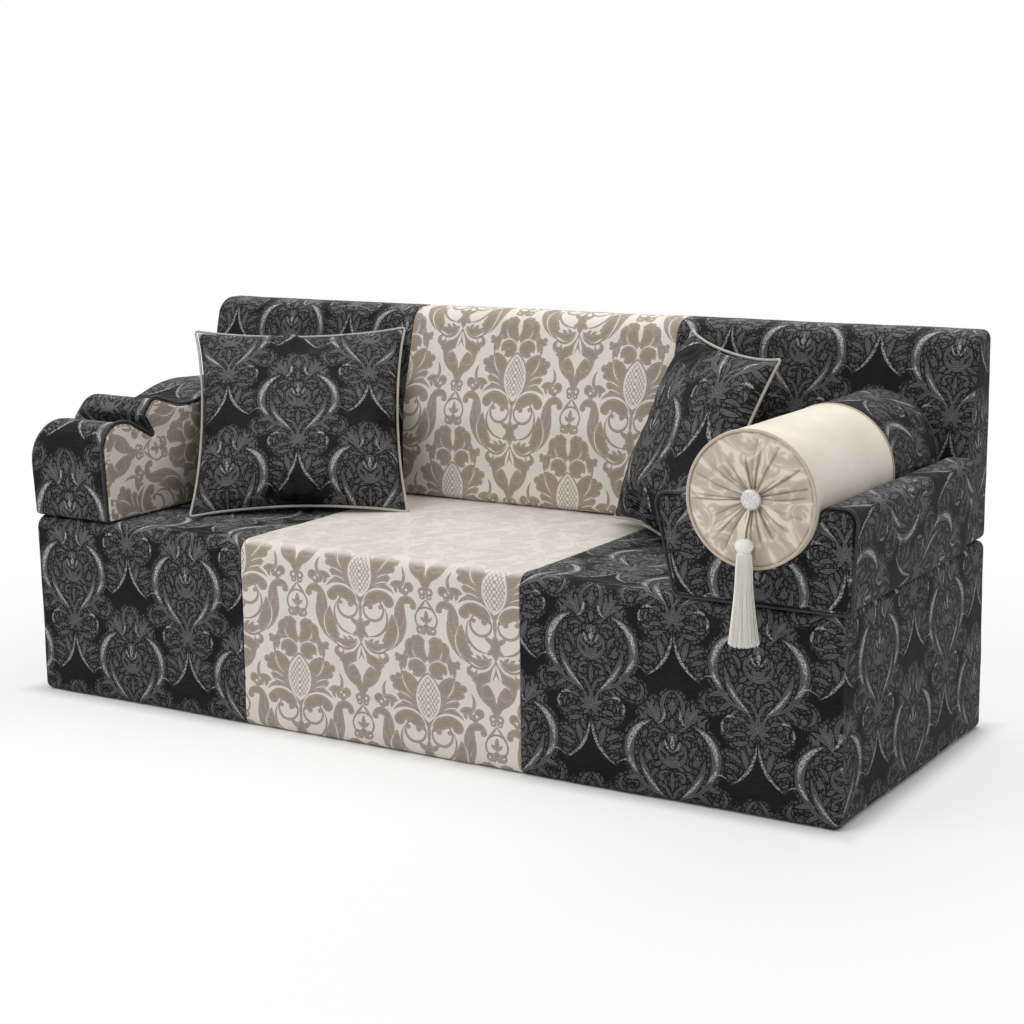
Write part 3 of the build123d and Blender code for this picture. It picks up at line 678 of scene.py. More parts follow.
def make_dark(name, painted_top_sheen=0.0):
    """The dark damask. Its second argument sets a painted sheen, in long stripes and over the motif, on
    faces that point up.
    """
    material, shader, cloth = fabric(name, 0.62, 0.0, 0.14)
    slub = noise(cloth, (38, 760, 1), 3)
    speck = noise(cloth, (520, 880, 1), 1)
    cloud = noise(cloth, (11, 15, 1), 2, shift=(7, 3, 0))
    bead = noise(cloth, (230, 300, 1), 1, shift=(2, 9, 0))
    woven, silver = lay_design(cloth, DARK_DESIGN, speck * 0.36 - 0.18)
    body = sweep(woven, 0.06, -0.08, 0, 1) * (1 - band(woven, 0.27, 0.05, 0.12) * 0.45)
    cells = {"Vector": stretch(cloth, (118, 86, 0)), "Scale": 1}
    curls = add(shader.id_data, "TexVoronoi", cells, voronoi_dimensions="2D", feature="DISTANCE_TO_EDGE")
    petal = sweep(curls, 0.10, 0.17, 0, 1)
    halo = sweep(woven, 0.16, 0.22, 0, 1) * sweep(woven, 0.55, 0.95, 1, 0)
    body = calc("MAXIMUM", body, petal * halo * FILLER_TONE)
    body = body * (slub * 1.1 + 0.45) * (bead * 0.9 + 0.55)
    shine = sweep(silver, 0.06, -0.06, 0, 1) * sweep(bead + speck * 0.4, 0.55, 0.86, 0.12, 1)
    ground = (sweep(slub, 0.38, 0.72, 0, 1) * 0.0095 + 0.0038) * (cloud * 1.2 + 0.4)
    tone = body * WOVEN_TONE + ground + shine * SILVER_TONE
    # Painted sheen: faces that point up are brightened in long stripes and over the woven motif
    if painted_top_sheen:
        sheen_streak = noise(cloth, (9, 210, 1), 3, shift=(4, 1, 0))
        lit = sweep(sheen_streak, 0.5, 0.72, 0, 1) * TOP_SHEEN_TONE + body * TOP_SHEEN_TONE
        tone = lit * facing_up(shader, 0.5, 0.97, painted_top_sheen) + tone
    colour = combined(*[tone * share for share in DARK_TINT])
    rough = slub * 0.12 + (shine * -0.2 + 0.66)
    coat(shader, colour, rough, threads(cloth, 0.0022) * 0.35 + slub, body * 0.35 + 0.3, 0.0006)
    return material


CREAM_GROUND = (0.692, 0.650, 0.588)
CREAM_WOVEN = (0.298, 0.247, 0.200)
GATHERED = (0.80, 0.70, 0.59)
# The colour of the painted shade along the gathered disc's folds
CREASE_SHADE = (0.12, 0.09, 0.065)


def make_cream(name, sheen_washout=0.0, blur=0.05, gathered=False, tone=1.0):
    """The cream damask. Its second argument sets a painted sheen that washes out the motif's contrast where
    the cloth faces up. Tone scales its brightness, and below 1 it paints shade; gathered cloth is paler and
    gets painted shade along its folds.
    """
    material, shader, cloth = fabric(name, 0.55, 0.08, 0.3)
    slub = noise(cloth, (42, 700, 1), 3)
    speck = noise(cloth, (480, 800, 1), 1)
    cloud = noise(cloth, (9, 12, 1), 2, shift=(3, 5, 0))
    woven, _ = lay_design(cloth, CREAM_DESIGN, speck * 0.32 - 0.16)
    body = sweep(woven, blur, -blur - 0.03, 0, 1) * (1 - band(woven, 0.3, 0.04, 0.1) * 0.25)
    body = body * (slub * 0.95 + 0.54)
    # Painted sheen: the motif is washed out toward the ground where the cloth faces up
    if sheen_washout:
        body = body * (1 - facing_up(shader, 0.55, 0.97, sheen_washout))
    base = mixed(body, CREAM_GROUND, CREAM_WOVEN)
    if gathered:
        base = mixed(0.42, base, GATHERED)
        # Painted shade darkens the pleats' folds
        base = mixed(add(shader.id_data, "Attribute", pick="Fac", attribute_name="crease_shade"), base, CREASE_SHADE)
    shade = (cloud + slub * 0.6) * (0.16 * tone) + 0.875 * tone
    lit = add(shader.id_data, "VectorMath", {0: base, "Scale": shade}, operation="SCALE")
    height = threads(cloth, 0.002) * 0.3 + slub
    coat(shader, lit, body * 0.25 + 0.5, height, body * 0.4 + 0.15, 0.0005)
    return material


def make_satin():
    """Plain cream satin, slightly cloudy."""
    material, shader, cloth = fabric("cream_satin", 0.42, 0.25, 0.4)
    cloud = noise(cloth, (14, 9, 1), 3)
    slub = noise(cloth, (30, 900, 1), 2)
    tone = sweep(cloud * 0.7 + slub * 0.3, 0.3, 0.75, 0, 1)
    colour = mixed(tone, (0.76, 0.69, 0.58), (0.86, 0.80, 0.70))
    coat(shader, colour, slub * 0.14 + 0.36, threads(cloth, 0.0012) * 0.25 + slub, 0.16, 0.0004)
    return material


def make_cord_cloth(name, low, high, rough=0.6):
    """Cord twisted or wrapped on the bias. The map runs along it and round it."""
    material, shader, cloth = fabric(name, rough, 0.15, 0.3)
    along, around_it, _ = parts(cloth)
    twist = calc("SINE", along * 1500 + around_it * 330) * 0.5 + 0.5
    worn = noise(cloth, (160, 300, 1), 2)
    colour = mixed(twist * 0.45 + worn * 0.55, low, high)
    coat(shader, colour, worn * 0.2 + (rough - 0.1), twist, 0.4, 0.0004)
    return material


def make_button_cloth():
    """Glitter cloth: each small cell has a grey, a gloss and a height of its own."""
    material, shader, place = fabric("button_cloth", 0.35, 0, 0.6, False)
    cells = {"Vector": stretch(place, (900, 900, 900)), "Scale": 1}
    red, green, blue = parts(add(shader.id_data, "TexVoronoi", cells, "Color"))
    colour = mixed(red, (0.50, 0.48, 0.47), (0.92, 0.91, 0.90))
    dress(shader, {"Metallic": 0.25})
    coat(shader, colour, green * 0.45 + 0.15, blue, 0.7, 0.0005)
    return material


def make_thread():
    material, shader, place = fabric("tassel_thread", 0.4, 0.2, 0.45, False)
    strand = noise(place, (1500, 1500, 25), 2, "3D")
    colour = mixed(sweep(strand, 0.3, 0.7, 0, 1), (0.82, 0.795, 0.725), (0.96, 0.95, 0.91))
    coat(shader, colour, strand * 0.25 + 0.28, strand, 0.3, 0.0003)
    return material


def make_tape():
    material, shader, place = fabric("zip_tape", 0.8, 0.1, 0.2, False)
    rib = noise(place, (1400, 1400, 1400), 2, "3D")
    coat(shader, mixed(rib, (0.008, 0.008, 0.009), (0.03, 0.03, 0.032)), 0.8, rib, 0.4, 0.0004)
    return material


def make_metal():
    material, shader, place = fabric("zip_metal", 0.32, 0, 0.5, False)
    worn = noise(place, (300, 300, 300), 3, "3D")
    colour = mixed(worn, (0.32, 0.32, 0.33), (0.55, 0.55, 0.54))
    dress(shader, {"Metallic": 1, "Base Color": colour, "Roughness": worn * 0.35 + 0.18})
    return material


DARK = make_dark("dark_damask")
# A copy with painted sheen on its upward faces, for the seat, the backrest and the arms
DARK_TOP_SHEEN = make_dark("dark_damask_top_sheen", 1.0)
CREAM = make_cream("cream_damask")
# A copy with painted sheen washing out its motif where it faces up, for the seat
CREAM_SEAT = make_cream("cream_damask_seat", 0.78)
# A darker copy, as painted shade on the left arm's side panel
CREAM_SHADED_PANEL = make_cream("cream_damask_panel_shaded", tone=0.9)
CREAM_GATHER = make_cream("cream_damask_gather", 0.0, 0.30, True, 1.04)
SATIN = make_satin()
PIPE_DARK = make_cord_cloth("dark_piping", (0.006, 0.006, 0.007), (0.045, 0.045, 0.048))
PIPE_CREAM = make_cord_cloth("cream_piping", (0.42, 0.34, 0.26), (0.70, 0.62, 0.51))
PIPE_GREY = make_cord_cloth("grey_piping", (0.26, 0.245, 0.215), (0.56, 0.53, 0.475))
BUTTON = make_button_cloth()
THREAD = make_thread()
TAPE = make_tape()
METAL = make_metal()


def lay_cloth(obj, sides=None, caps=None):
    """Lays the cloth's design. The long sides are the four-cornered faces, and each
    function turns the map's metres into the design's centimetres."""
    mesh = obj.data
    layer = mesh.uv_layers["cloth"]
    uv = read(layer.data, "uv", 2)
    corners = read(mesh.polygons, "loop_total", 1, int)[:, 0]
    four = np.repeat(corners == 4, corners)
    for chosen, rule in ((four, sides), (~four, caps)):
        if rule and chosen.any():
            uv[chosen] = np.column_stack(rule(*(uv[chosen] * 100).T)) / 100
    layer.data.foreach_set("uv", uv.ravel())


ZIP_WIDE = 0.013
ZIP_DEEP = 0.009


def cut_slot(obj, place, length):
    """Sinks a zip's slot. The place's X runs along the zip and its Z points out."""
    clear = 0.03
    points = []
    for z in (-ZIP_DEEP, clear):
        for x, y in ((-1, -1), (1, -1), (1, 1), (-1, 1)):
            points.append((x * length / 2, y * ZIP_WIDE / 2, z))
    faces = [(3, 2, 1, 0), (4, 5, 6, 7), (0, 1, 5, 4), (1, 2, 6, 5), (2, 3, 7, 6), (3, 0, 4, 7)]
    cutter = make("slot_cutter", None, points, faces)
    cutter.data.transform(place)
    cut = obj.modifiers.new("slot", "BOOLEAN")
    cut.operation = "DIFFERENCE"
    cut.solver = "EXACT"
    cut.object = cutter
    graph = bpy.context.evaluated_depsgraph_get()
    mesh = bpy.data.meshes.new_from_object(obj.evaluated_get(graph))
    obj.modifiers.clear()
    obj.data = mesh
    bpy.data.objects.remove(cutter)


def slot_place(where, along, out):
    return facing(Vector(where), along, out.cross(along), out)


def shifted(right, up, grow=(1, 1), swapped=False):
    """A rule that moves a design by centimetres and then stretches it."""

    def rule(u, v):
        u, v = (v, u) if swapped else (u, v)
        return (u + right) * grow[0], (v + up) * grow[1]

    return rule


def section_cloth(line, floor, x_cm, z_cm, grow_x, grow_z):
    """Puts a motif's middle at a place on the front face, in the photograph's centimetres
    from the left end and the foot, and carries the cloth on over the top."""
    run = np.linalg.norm(np.roll(line, -1, 0) - line, axis=1).sum() * 100
    left = -100 * SEAT_X[0]
    end_shift = 20  # how far the cloth of the end faces is moved across
    under = 10  # how far the front's cloth carries on beneath the block

    def sides(u, v):
        up = np.where(v < under, -v, run - v)
        return (u + left - x_cm) * grow_x, (up + floor - z_cm) * grow_z

    def caps(u, v):
        return (u + end_shift) * grow_x, (v - floor - z_cm) * grow_z

    return sides, caps


def make_sections(owner, line, end_round, height, cream, cloths):
    """The three cover sections of the seat or of the backrest, with the zip's slot."""
    zip_length = 1.3
    crown = 0.003
    ring_step, cap_step = 0.012, 0.013
    foot = line[:, 1].min()
    spans = (
        ("left", SEAT_X[0], SEAMS[0], end_round, 0, DARK_TOP_SHEEN, "dark_damask"),
        ("centre", SEAMS[0], SEAMS[1], 0, 0, cream, "cream_damask"),
        ("right", SEAMS[1], SEAT_X[1], 0, end_round, DARK_TOP_SHEEN, "dark_damask"),
    )
    made = []
    for (side, low, high, low_round, high_round, material, slot), cloth in zip(spans, cloths):
        rings = long_rings(line, low, high, low_round, high_round, ring_step)
        domes = (crown if low_round else 0, crown if high_round else 0)
        obj = bar(f"{owner}_{side}_section", material, rings, YZ, cap_step, domes)
        ease(obj, (0.0011, 0.34, 3), (0.0004, 0.09, 5), sink=0.0004)
        for vertex in obj.data.vertices:
            vertex.co.z = max(vertex.co.z, foot)
        lay_cloth(obj, *section_cloth(line, *cloth))
        cut_slot(obj, slot_place((0, SEAT_Y[1], height), ALONG_X, ALONG_Y), zip_length)
        settle(obj, owner, slot, f"{owner}_cover_{side}", fill=FIRM)
        made.append(obj)
    return made


SEAT_CORNERS = ((SEAT_Y[0], 0.0), (SEAT_Y[1], 0.0), (SEAT_Y[1], SEAT_TOP), (SEAT_Y[0], SEAT_TOP))
SEAT_ROUND = (0.016, 0.016, 0.020, 0.030)
BACK_CORNERS = (
    (0.216, SEATED),
    (SEAT_Y[1], SEATED),
    (SEAT_Y[1], BACK_TOP),
    (0.284, BACK_TOP),
    (0.224, SEATED + 0.187),
)
BACK_ROUND = (0.017, 0.017, 0.020, 0.048, 0.150)
# Each section's cloth: the block's foot, a motif's middle and how far it is stretched
SEAT_CLOTH = (
    (1.6, 10.3, 27.2, 1.047, 1.014),
    (1.6, 71.8, 12.5, 1.0, 1.085),
    (1.6, 140.2, 26.8, 0.985, 1.025),
)
BACK_CLOTH = (
    (1.7, 22.9, 36.0, 1.02, 1.0),
    (1.7, 71.1, 3.3, 1.053, 1.004),
    (1.7, 153.5, 37.0, 1.02, 1.0),
)
BLOCK_STEP = 0.011
SEAT_ZIP_UP = 0.060
BACK_ZIP_UP = SEATED + 0.045
seat_line, _ = outline(SEAT_CORNERS, SEAT_ROUND, BLOCK_STEP)
back_line, _ = outline(BACK_CORNERS, BACK_ROUND, BLOCK_STEP)
seat = make_sections("seat", seat_line, 0.015, SEAT_ZIP_UP, CREAM_SEAT, SEAT_CLOTH)
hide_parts("seat_base_foam", "seat_comfort_foam", "seat_base_cloth")
backrest = make_sections("backrest", back_line, 0.016, BACK_ZIP_UP, CREAM, BACK_CLOTH)
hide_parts("backrest_foam")

# The left arm's outline, in shares of its depth and its height, and each corner's radius
# in shares of its height
WAVE = (
    (0.005, 0.0), (-0.012, 0.82), (0.124, 0.82), (0.289, 0.624), (0.219, 0.857), (0.278, 0.984),
    (0.417, 0.876), (0.518, 0.876), (0.696, 1.0), (1.0, 0.965), (1.0, 0.0),
)
WAVE_ROUND = (0.04, 0.215, 0.3, 0.02, 0.047, 0.086, 0.55, 0.55, 1.1, 0.06, 0.04)
ARM_DEPTH = ARM_REAR - SEAT_Y[0]
ARM_MIDDLE = (SEAT_Y[0] + ARM_REAR) / 2
ARM_ZIP = 0.4


def wave_line(drop, counts=None):
    corners = []
    for depth, height in WAVE:
        down = drop if height > 0 else 0
        corners.append((SEAT_Y[0] + depth * ARM_DEPTH, SEATED + height * LEFT_HEIGHT - down))
    return outline(corners, [r * LEFT_HEIGHT for r in WAVE_ROUND], 0.007, counts)


def make_left_arm():
    """The dark band, the cream side panel and the piping between them."""
    base, counts = wave_line(0)
    left, right = LEFT_ARM
    shoulder = 0.048
    lean = 0.004
    crown = 0.002
    welt = 0.003
    wide = right - left
    run = wide - shoulder - 0.005
    bends, runs = 8, 16
    stations = []  # a ring's place across the arm, its drop and how far it is drawn in
    for k in range(bends + 1):
        c, s = around(QUARTER * k / bends, shoulder)
        stations.append((shoulder - c, shoulder - s, lean * (1 - smooth(k / 3))))
    stations += [(shoulder + run * k / runs, 0.0, 0.0) for k in range(1, runs + 1)]
    stations += [(wide - 0.002, 0.0, 0.0007), (wide - 0.0015, 0.0, 0.003)]
    rings = [at_x(left + x, inset(wave_line(drop, counts)[0], amount)) for x, drop, amount in stations]
    arm = bar("left_arm_band", DARK_TOP_SHEEN, rings, YZ, 0.014, (crown, 0))
    ease(arm, (0.0008, 0.22, 8))
    lay_cloth(arm, shifted(84.6, -0.8, (0.95, 0.87)), shifted(18, -42))
    cut_slot(arm, slot_place(((left + right) / 2, ARM_MIDDLE, SEATED), ALONG_Y, DOWN), ARM_ZIP)
    hidden = ("left_arm_outer_panel", "left_arm_base_panel", "left_arm_foam")
    settle(arm, "left_arm", "dark_damask", "left_arm_cover", *hidden, fill=FIRM)
    rows = ((-0.003, 0.0062), (-0.0012, 0.0032), (0.0, 0.0035), (0.0012, 0.0055), (0.0018, 0.0080))
    rings = [at_x(right + x, inset(base, amount)) for x, amount in rows]
    panel = bar("left_arm_side", CREAM_SHADED_PANEL, rings, YZ, 0.010, (0, 0.006))
    lay_cloth(panel, None, shifted(-100 * SEATED - 14.2, 55.1, (1, -1), swapped=True))
    settle(panel, "left_arm", "cream_damask", "left_arm_inner_panel")
    keep = inset(base, -0.0033)
    first = int(np.argmin(np.where(keep[:, 0] < ARM_REAR - 0.0005, keep.sum(1), 9)))
    line = np.roll(keep, -first, 0)
    line = line[(line[:, 1] > SEATED + 0.0035) & (line[:, 0] < ARM_REAR - 0.001)]
    piping = tube("left_arm_welt", PIPE_DARK, at_x(right - welt, line), welt)
    settle(piping, "left_arm", "dark_piping", "left_arm_piping")


make_left_arm()


def cradle_line(step):
    """The right arm's front outline, in X and Z, with the bolster's groove. It also gives
    how many of its points come before the groove."""
    top = SEATED + RIGHT_HEIGHT
    groove = 0.1245
    lip = 0.014
    left = SEAT_X[0] + 1.576
    top_left = SEAT_X[0] + 1.550
    corners = ((left, SEATED), (left + 0.337, SEATED), (top_left + 0.384, top), (top_left, top))
    line, _ = outline(corners, (0.012, 0.012, 0.021, 0.021), step)
    centre = np.array([AXIS_X, AXIS_Z])
    reach = math.sqrt((groove + lip) ** 2 - (AXIS_Z - (top - lip)) ** 2)
    right_lip = centre + np.array([reach, top - lip - AXIS_Z])
    gone = (line[:, 1] > top - 1e-6) & (np.abs(line[:, 0] - AXIS_X) < reach + 0.001)
    if not gone.any():
        line = np.vstack([line, [[AXIS_X, top]]])
        gone = np.append(np.zeros(len(line) - 1, bool), True)
    last = int(np.argmax(gone & ~np.roll(gone, -1)))
    outside = np.roll(line, -last - 1, 0)[: int((~gone).sum())]
    toward = centre - right_lip
    meet = math.atan2(toward[1], toward[0])
    lips = [right_lip + around(t, lip) for t in np.linspace(QUARTER, meet, 7)]
    inner = meet - math.pi
    floor = [centre + around(t, groove) for t in np.linspace(inner, -math.pi - inner, 40)[1:-1]]
    others = [np.array([2 * AXIS_X - p[0], p[1]]) for p in lips[::-1]]
    return np.vstack([outside, lips, floor, others]), len(outside)


def make_right_arm():
    """The cradle block and the piping round its front."""
    line, outer_count = cradle_line(0.009)
    lean = 0.030
    body_rings = 48
    welt = 0.0028
    # How deep a ring near each end lies, and how far it is drawn in
    front_rows = ((0.0006, 0.005), (0.0012, 0.0026), (0.003, 0.0008), (0.006, 0.0))
    rear_rows = ((0.003, 0.0008), (0.0012, 0.0026), (0.0004, 0.005))
    body_from, body_to = front_rows[-1][0], 0.004

    def front(z):
        return SEAT_Y[0] - lean * (z - SEATED) / RIGHT_HEIGHT

    def at_y(y, ring):
        return np.column_stack([ring[:, 0], y, ring[:, 1]])

    rings = []
    for depth, amount in front_rows:
        ring = inset(line, amount)
        rings.append(at_y(front(ring[:, 1]) + depth, ring))
    for k in range(1, body_rings):
        t = k / body_rings
        y = (front(line[:, 1]) + body_from) * (1 - t) + (ARM_REAR - body_to) * t
        rings.append(at_y(y, line))
    for depth, amount in rear_rows:
        rings.append(at_y(np.full(len(line), ARM_REAR - depth), inset(line, amount)))
    arm = bar("right_arm_body", DARK_TOP_SHEEN, rings, XZ, 0.012, (0.003, 0.002))
    lay_cloth(arm, shifted(9.5, -4.0, swapped=True), shifted(-79.2, -42.0))
    cut_slot(arm, slot_place((AXIS_X, ARM_MIDDLE, SEATED), ALONG_Y, DOWN), ARM_ZIP)
    shown = [f"right_arm_{side}" for side in ("cover", "front_panel", "rear_panel", "base_panel", "foam")]
    settle(arm, "right_arm", "dark_damask", *shown, fill=FIRM)
    ring = inset(line, -welt)[:outer_count]
    piping = tube("right_arm_welt", PIPE_DARK, at_y(front(ring[:, 1]) + 0.0032, ring), welt)
    settle(piping, "right_arm", "dark_piping", "right_arm_piping")


make_right_arm()


def lathe(name, material, profile, turns, place, push=None, map_by=1):
    """A form turned about Y. The profile is radius and distance along Y, and push gives
    each point's change along Y from its angle and its radius. The cloth's map runs round
    the form and by the profile's part map_by, or is its front view where that is None."""
    points = []
    for radius, along in profile:
        for k in range(turns):
            a = TURN * k / turns
            x, z = around(a, radius)
            points.append((place[0] + x, place[1] + along + (push(a, radius) if push else 0), place[2] + z))

    def flat(v):
        return points[v][0] - place[0], points[v][2] - place[2]

    def at(n, k):
        if map_by is None:
            return flat(n * turns + k % turns)
        return k / turns * TURN * BOLSTER_R, profile[n][map_by]

    faces, uv = quads(len(profile), turns, at)
    last = (len(profile) - 1) * turns
    for end in (range(turns), range(last, last + turns)[::-1]):
        faces.append(list(end))
        uv += [flat(v) for v in end]
    return make(name, material, points, faces, uv, 60)


def make_sleeves():
    """The bolster's two sleeves. Each row is how far in from the bolster's radius and
    from the sleeve's end it lies."""
    shoulder = ((0.006, 0.030), (0.0045, 0.0), (0.0014, 0.0016), (0.0003, 0.0045), (0.0, 0.009))
    seam = ((0.004, 0.0), (0.0012, 0.0006), (0.0, 0.004))
    end_gap, joint_gap, row_step = 0.0030, 0.0004, 0.009
    zip_length = 0.282
    spans = (
        ("cream", BOLSTER_FRONT + end_gap, BOLSTER_JOINT - joint_gap, shoulder, seam, SATIN),
        ("dark", BOLSTER_JOINT + joint_gap, BOLSTER_REAR - end_gap, seam, shoulder, DARK),
    )
    made = []
    for name, low, high, front, rear, material in spans:
        rows = [(BOLSTER_R - r, low + y) for r, y in front]
        begin, end = rows[-1][1], high - rear[-1][1]
        count = int((end - begin) / row_step)
        rows += [(BOLSTER_R, begin + (end - begin) * k / count) for k in range(1, count)]
        rows += [(BOLSTER_R - r, high - y) for r, y in rear[::-1]]
        sleeve = lathe(f"bolster_{name}_sleeve", material, rows, 96, (AXIS_X, 0.0, AXIS_Z))
        ease(sleeve, (0.0003, 0.12, 11), sink=0.0004)
        made.append(sleeve)
    cream, dark = made
    cut_slot(cream, slot_place((AXIS_X, BOLSTER_ZIP, AXIS_Z - BOLSTER_R), ALONG_Y, DOWN), zip_length)
    settle(cream, "bolster", "cream_satin", "bolster_cover_cream", fill=FIRM)
    settle(dark, "bolster", "dark_damask", "bolster_cover_black", fill=FIRM)
    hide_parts("bolster_filling")


def gathered_end(side, y, way, material, slot, seed):
    """A gathered disc: cloth drawn to the button in uneven pleats, each a fold that
    overhangs its neighbour on one side and ends where the fullness runs out."""
    rng = np.random.default_rng(seed)
    pleats = 25
    angles = (np.arange(pleats) + rng.uniform(-0.38, 0.38, pleats)) * TURN / pleats
    depths = rng.uniform(0.5, 1.25, pleats)
    reaches = rng.uniform(0.62, 1.25, pleats)
    leans = rng.choice([-1.0, 1.0], pleats, p=[0.35, 0.65])
    bends = rng.uniform(-0.06, 0.06, pleats)
    edge_round = 0.014
    rim = BOLSTER_R - edge_round
    inner = 0.006
    button = 0.021
    sunk, middle_sunk = 0.0055, 0.0065
    bulge = 0.0062
    fold_deep = 0.0062
    fade_from, fade_over = 0.25, 0.40
    pleats_from = 0.012
    rings, edge_rings = 40, 6
    edge_turn = 0.75
    rows = []
    for k in range(rings):
        r = inner + (rim - inner) * k / (rings - 1)
        t = max(0, (r - button) / (rim - button))
        dished = sunk - bulge * math.sin(math.pi * min(1, t ** 0.8)) - sunk * smooth(t * 1.6)
        rows.append((r, middle_sunk - 0.001 * r / button if r < button else dished))
    for k in range(1, edge_rings + 1):
        c, s = around(edge_turn * k / edge_rings, edge_round)
        rows.append((rim + s, edge_round - c))
    rows += [(BOLSTER_R - 0.0048, 0.0062), (BOLSTER_R - 0.0055, 0.022)]
    # How much painted shade each point gets, along the pleats' folds
    crease_shade = []

    def push(angle, radius):
        """Each pleat dips steeply on one side, gently on the other."""
        t = (radius - pleats_from) / (rim - pleats_from)
        if radius < 0.01 or radius > rim + 0.006:
            crease_shade.append(0.0)
            return 0
        gap = (angle - angles - bends * t * t + math.pi) % TURN - math.pi
        along = gap * radius * leans
        steep = 0.0009 + 0.0008 * t
        gentle = 0.0040 + 0.0075 * t
        gentle_dip = np.exp(-((np.abs(along) / gentle) ** 1.2))
        dip = np.where(along < 0, np.exp(-((along / steep) ** 2)), gentle_dip)
        fade = (1 - smooth((t - reaches + fade_from) / fade_over)) * smooth(t * 6 + 0.4)
        folds = (dip * depths * fade).max() * fold_deep
        # A thin line of painted shade along each fold
        line = np.exp(-((along / (0.0011 + 0.0008 * t)) ** 2)) * np.minimum(depths, 1) * fade
        edge = 1 - float(smooth((radius - rim + 0.004) / 0.010))
        crease_shade.append(float(line.max()) * edge * 0.55)
        swell = 0.0012 * math.sin(angle * 7 + 1.3) * t * (1 - t)
        return way * (folds + swell - 0.0022 * t * (1 - t)) * edge

    rows = [(r, way * h) for r, h in rows]
    disc = lathe(f"bolster_{side}_gather", material, rows, 720, (AXIS_X, y, AXIS_Z), push, 0)
    layer = disc.data.attributes.new("crease_shade", "FLOAT", "POINT")
    layer.data.foreach_set("value", crease_shade)
    settle(disc, "bolster", slot, f"bolster_{side}_end", fill=0.9)


def make_ring(side, radius, y, thick, material, slot):
    """Piping round the bolster, a little uneven as sewn piping is."""
    uneven = 0.00008
    count = 180
    phases = np.random.default_rng(4).uniform(0, 6.3, 4)
    line = []
    for k in range(count):
        a = TURN * k / count
        off = uneven * sum(math.sin(a * m + p) for m, p in zip((5, 9, 14, 23), phases))
        x, z = around(a, radius + off)
        line.append((AXIS_X + x, y + off * 0.6, AXIS_Z + z))
    ring = tube(f"bolster_{side}_welt", material, line, thick, True, 12)
    settle(ring, "bolster", slot, f"bolster_{side}_piping")


BUTTON_ROWS = (
    (0.0004, -0.0033), (0.006, -0.00325), (0.011, -0.0029), (0.0145, -0.0023), (0.0170, -0.0010),
    (0.0186, 0.0010), (0.019, 0.0030), (0.0186, 0.0052), (0.0175, 0.0072), (0.0160, 0.0077),
)


def make_button(side, y, way, material, slot):
    rows = [(r, way * h) for r, h in BUTTON_ROWS]
    button = lathe(f"bolster_{side}_button_cloth", material, rows, 64, (AXIS_X, y, AXIS_Z), None, None)
    settle(button, "bolster", slot, f"bolster_{side}_button")


make_sleeves()
gathered_end("front", BOLSTER_FRONT, 1, CREAM_GATHER, "cream_damask", 21)
gathered_end("rear", BOLSTER_REAR, -1, DARK, "dark_damask", 22)
END_WELT = 0.003
END_WELT_R = 0.1212
END_WELT_IN = 0.0018
make_ring("front", END_WELT_R, BOLSTER_FRONT + END_WELT_IN, END_WELT, PIPE_CREAM, "cream_piping")
make_ring("rear", END_WELT_R, BOLSTER_REAR - END_WELT_IN, END_WELT, PIPE_DARK, "dark_piping")
make_ring("joint", 0.1226, BOLSTER_JOINT, 0.0016, PIPE_CREAM, "cream_piping")
make_button("front", BOLSTER_FRONT, 1, BUTTON, "button_cloth")
make_button("rear", BOLSTER_REAR, -1, DARK, "dark_damask")

# The tassel's cord, through the same points as in part.py
CORD_ROUTE = (
    (0.792, -0.4125, 0.5695),
    (0.792, -0.4146, 0.55762),
    (0.792, -0.4303, 0.5387),
    (0.792, -0.4303, 0.5255),
)
CORD_END = CORD_ROUTE[-1]


def make_cord():
    """The cord's smooth curve through its route."""
    curve = bpy.data.curves.new("tassel_cord_braid", "CURVE")
    curve.dimensions = "3D"
    curve.bevel_depth = 0.0012
    curve.bevel_resolution = 3
    curve.resolution_u = 12
    spline = curve.splines.new("NURBS")
    spline.points.add(len(CORD_ROUTE) - 1)
    for point, where in zip(spline.points, CORD_ROUTE):
        point.co = (*where, 1)
    spline.order_u = 3
    spline.use_endpoint_u = True
    curve.materials.append(THREAD)
    return placed("tassel_cord_braid", curve)


def make_cord_knot():
    """The overhand knot at the cord's end, which the tassel's head hangs from."""
    loop, weave, rise, strand = 0.00062, 0.00030, 0.00045, 0.0007
    count = 48
    line = []
    for k in range(count):
        a = TURN * k / count
        x, y = around(2 * a, loop + weave * math.cos(3 * a))
        line.append((CORD_END[0] + x, CORD_END[1] + y, CORD_END[2] + rise * math.sin(3 * a)))
    return tube("tassel_cord_knot", THREAD, line, strand, True, 8)


cord = make_cord()
settle(cord, "tassel_cord", "tassel_thread", "tassel_cord")
cord_knot = make_cord_knot()
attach(cord_knot, "tassel_cord")


def make_tassel_head(x, y, top):
    """The wound head, ribbed by its threads: a ball that is cut off at its neck."""
    ball, neck, tip = 0.016, 0.0115, 0.0008
    cut = 0.78
    ribs, rib_deep, rib_full = 28, 0.00035, 0.008
    below, tall = 0.0005, 0.0237
    turns = 4 * ribs
    rows = 25
    points = []
    for n in range(rows):
        t = n / (rows - 1)
        r = ball * math.sin(math.acos(np.clip(1 - (1 + cut) * t, -cut, 1))) if t < 1 else neck
        r = max(r, tip)
        for k in range(turns):
            a = TURN * k / turns
            rib = rib_deep * math.cos(a * ribs) * min(1, r / rib_full)
            dx, dy = around(a, r + rib)
            points.append((x + dx, y + dy, top - below - tall * t))
    faces, _ = quads(rows, turns)
    faces.append(list(range(turns)))
    faces.append([(rows - 1) * turns + k for k in range(turns)][::-1])
    return make("tassel_knot", THREAD, points, faces)


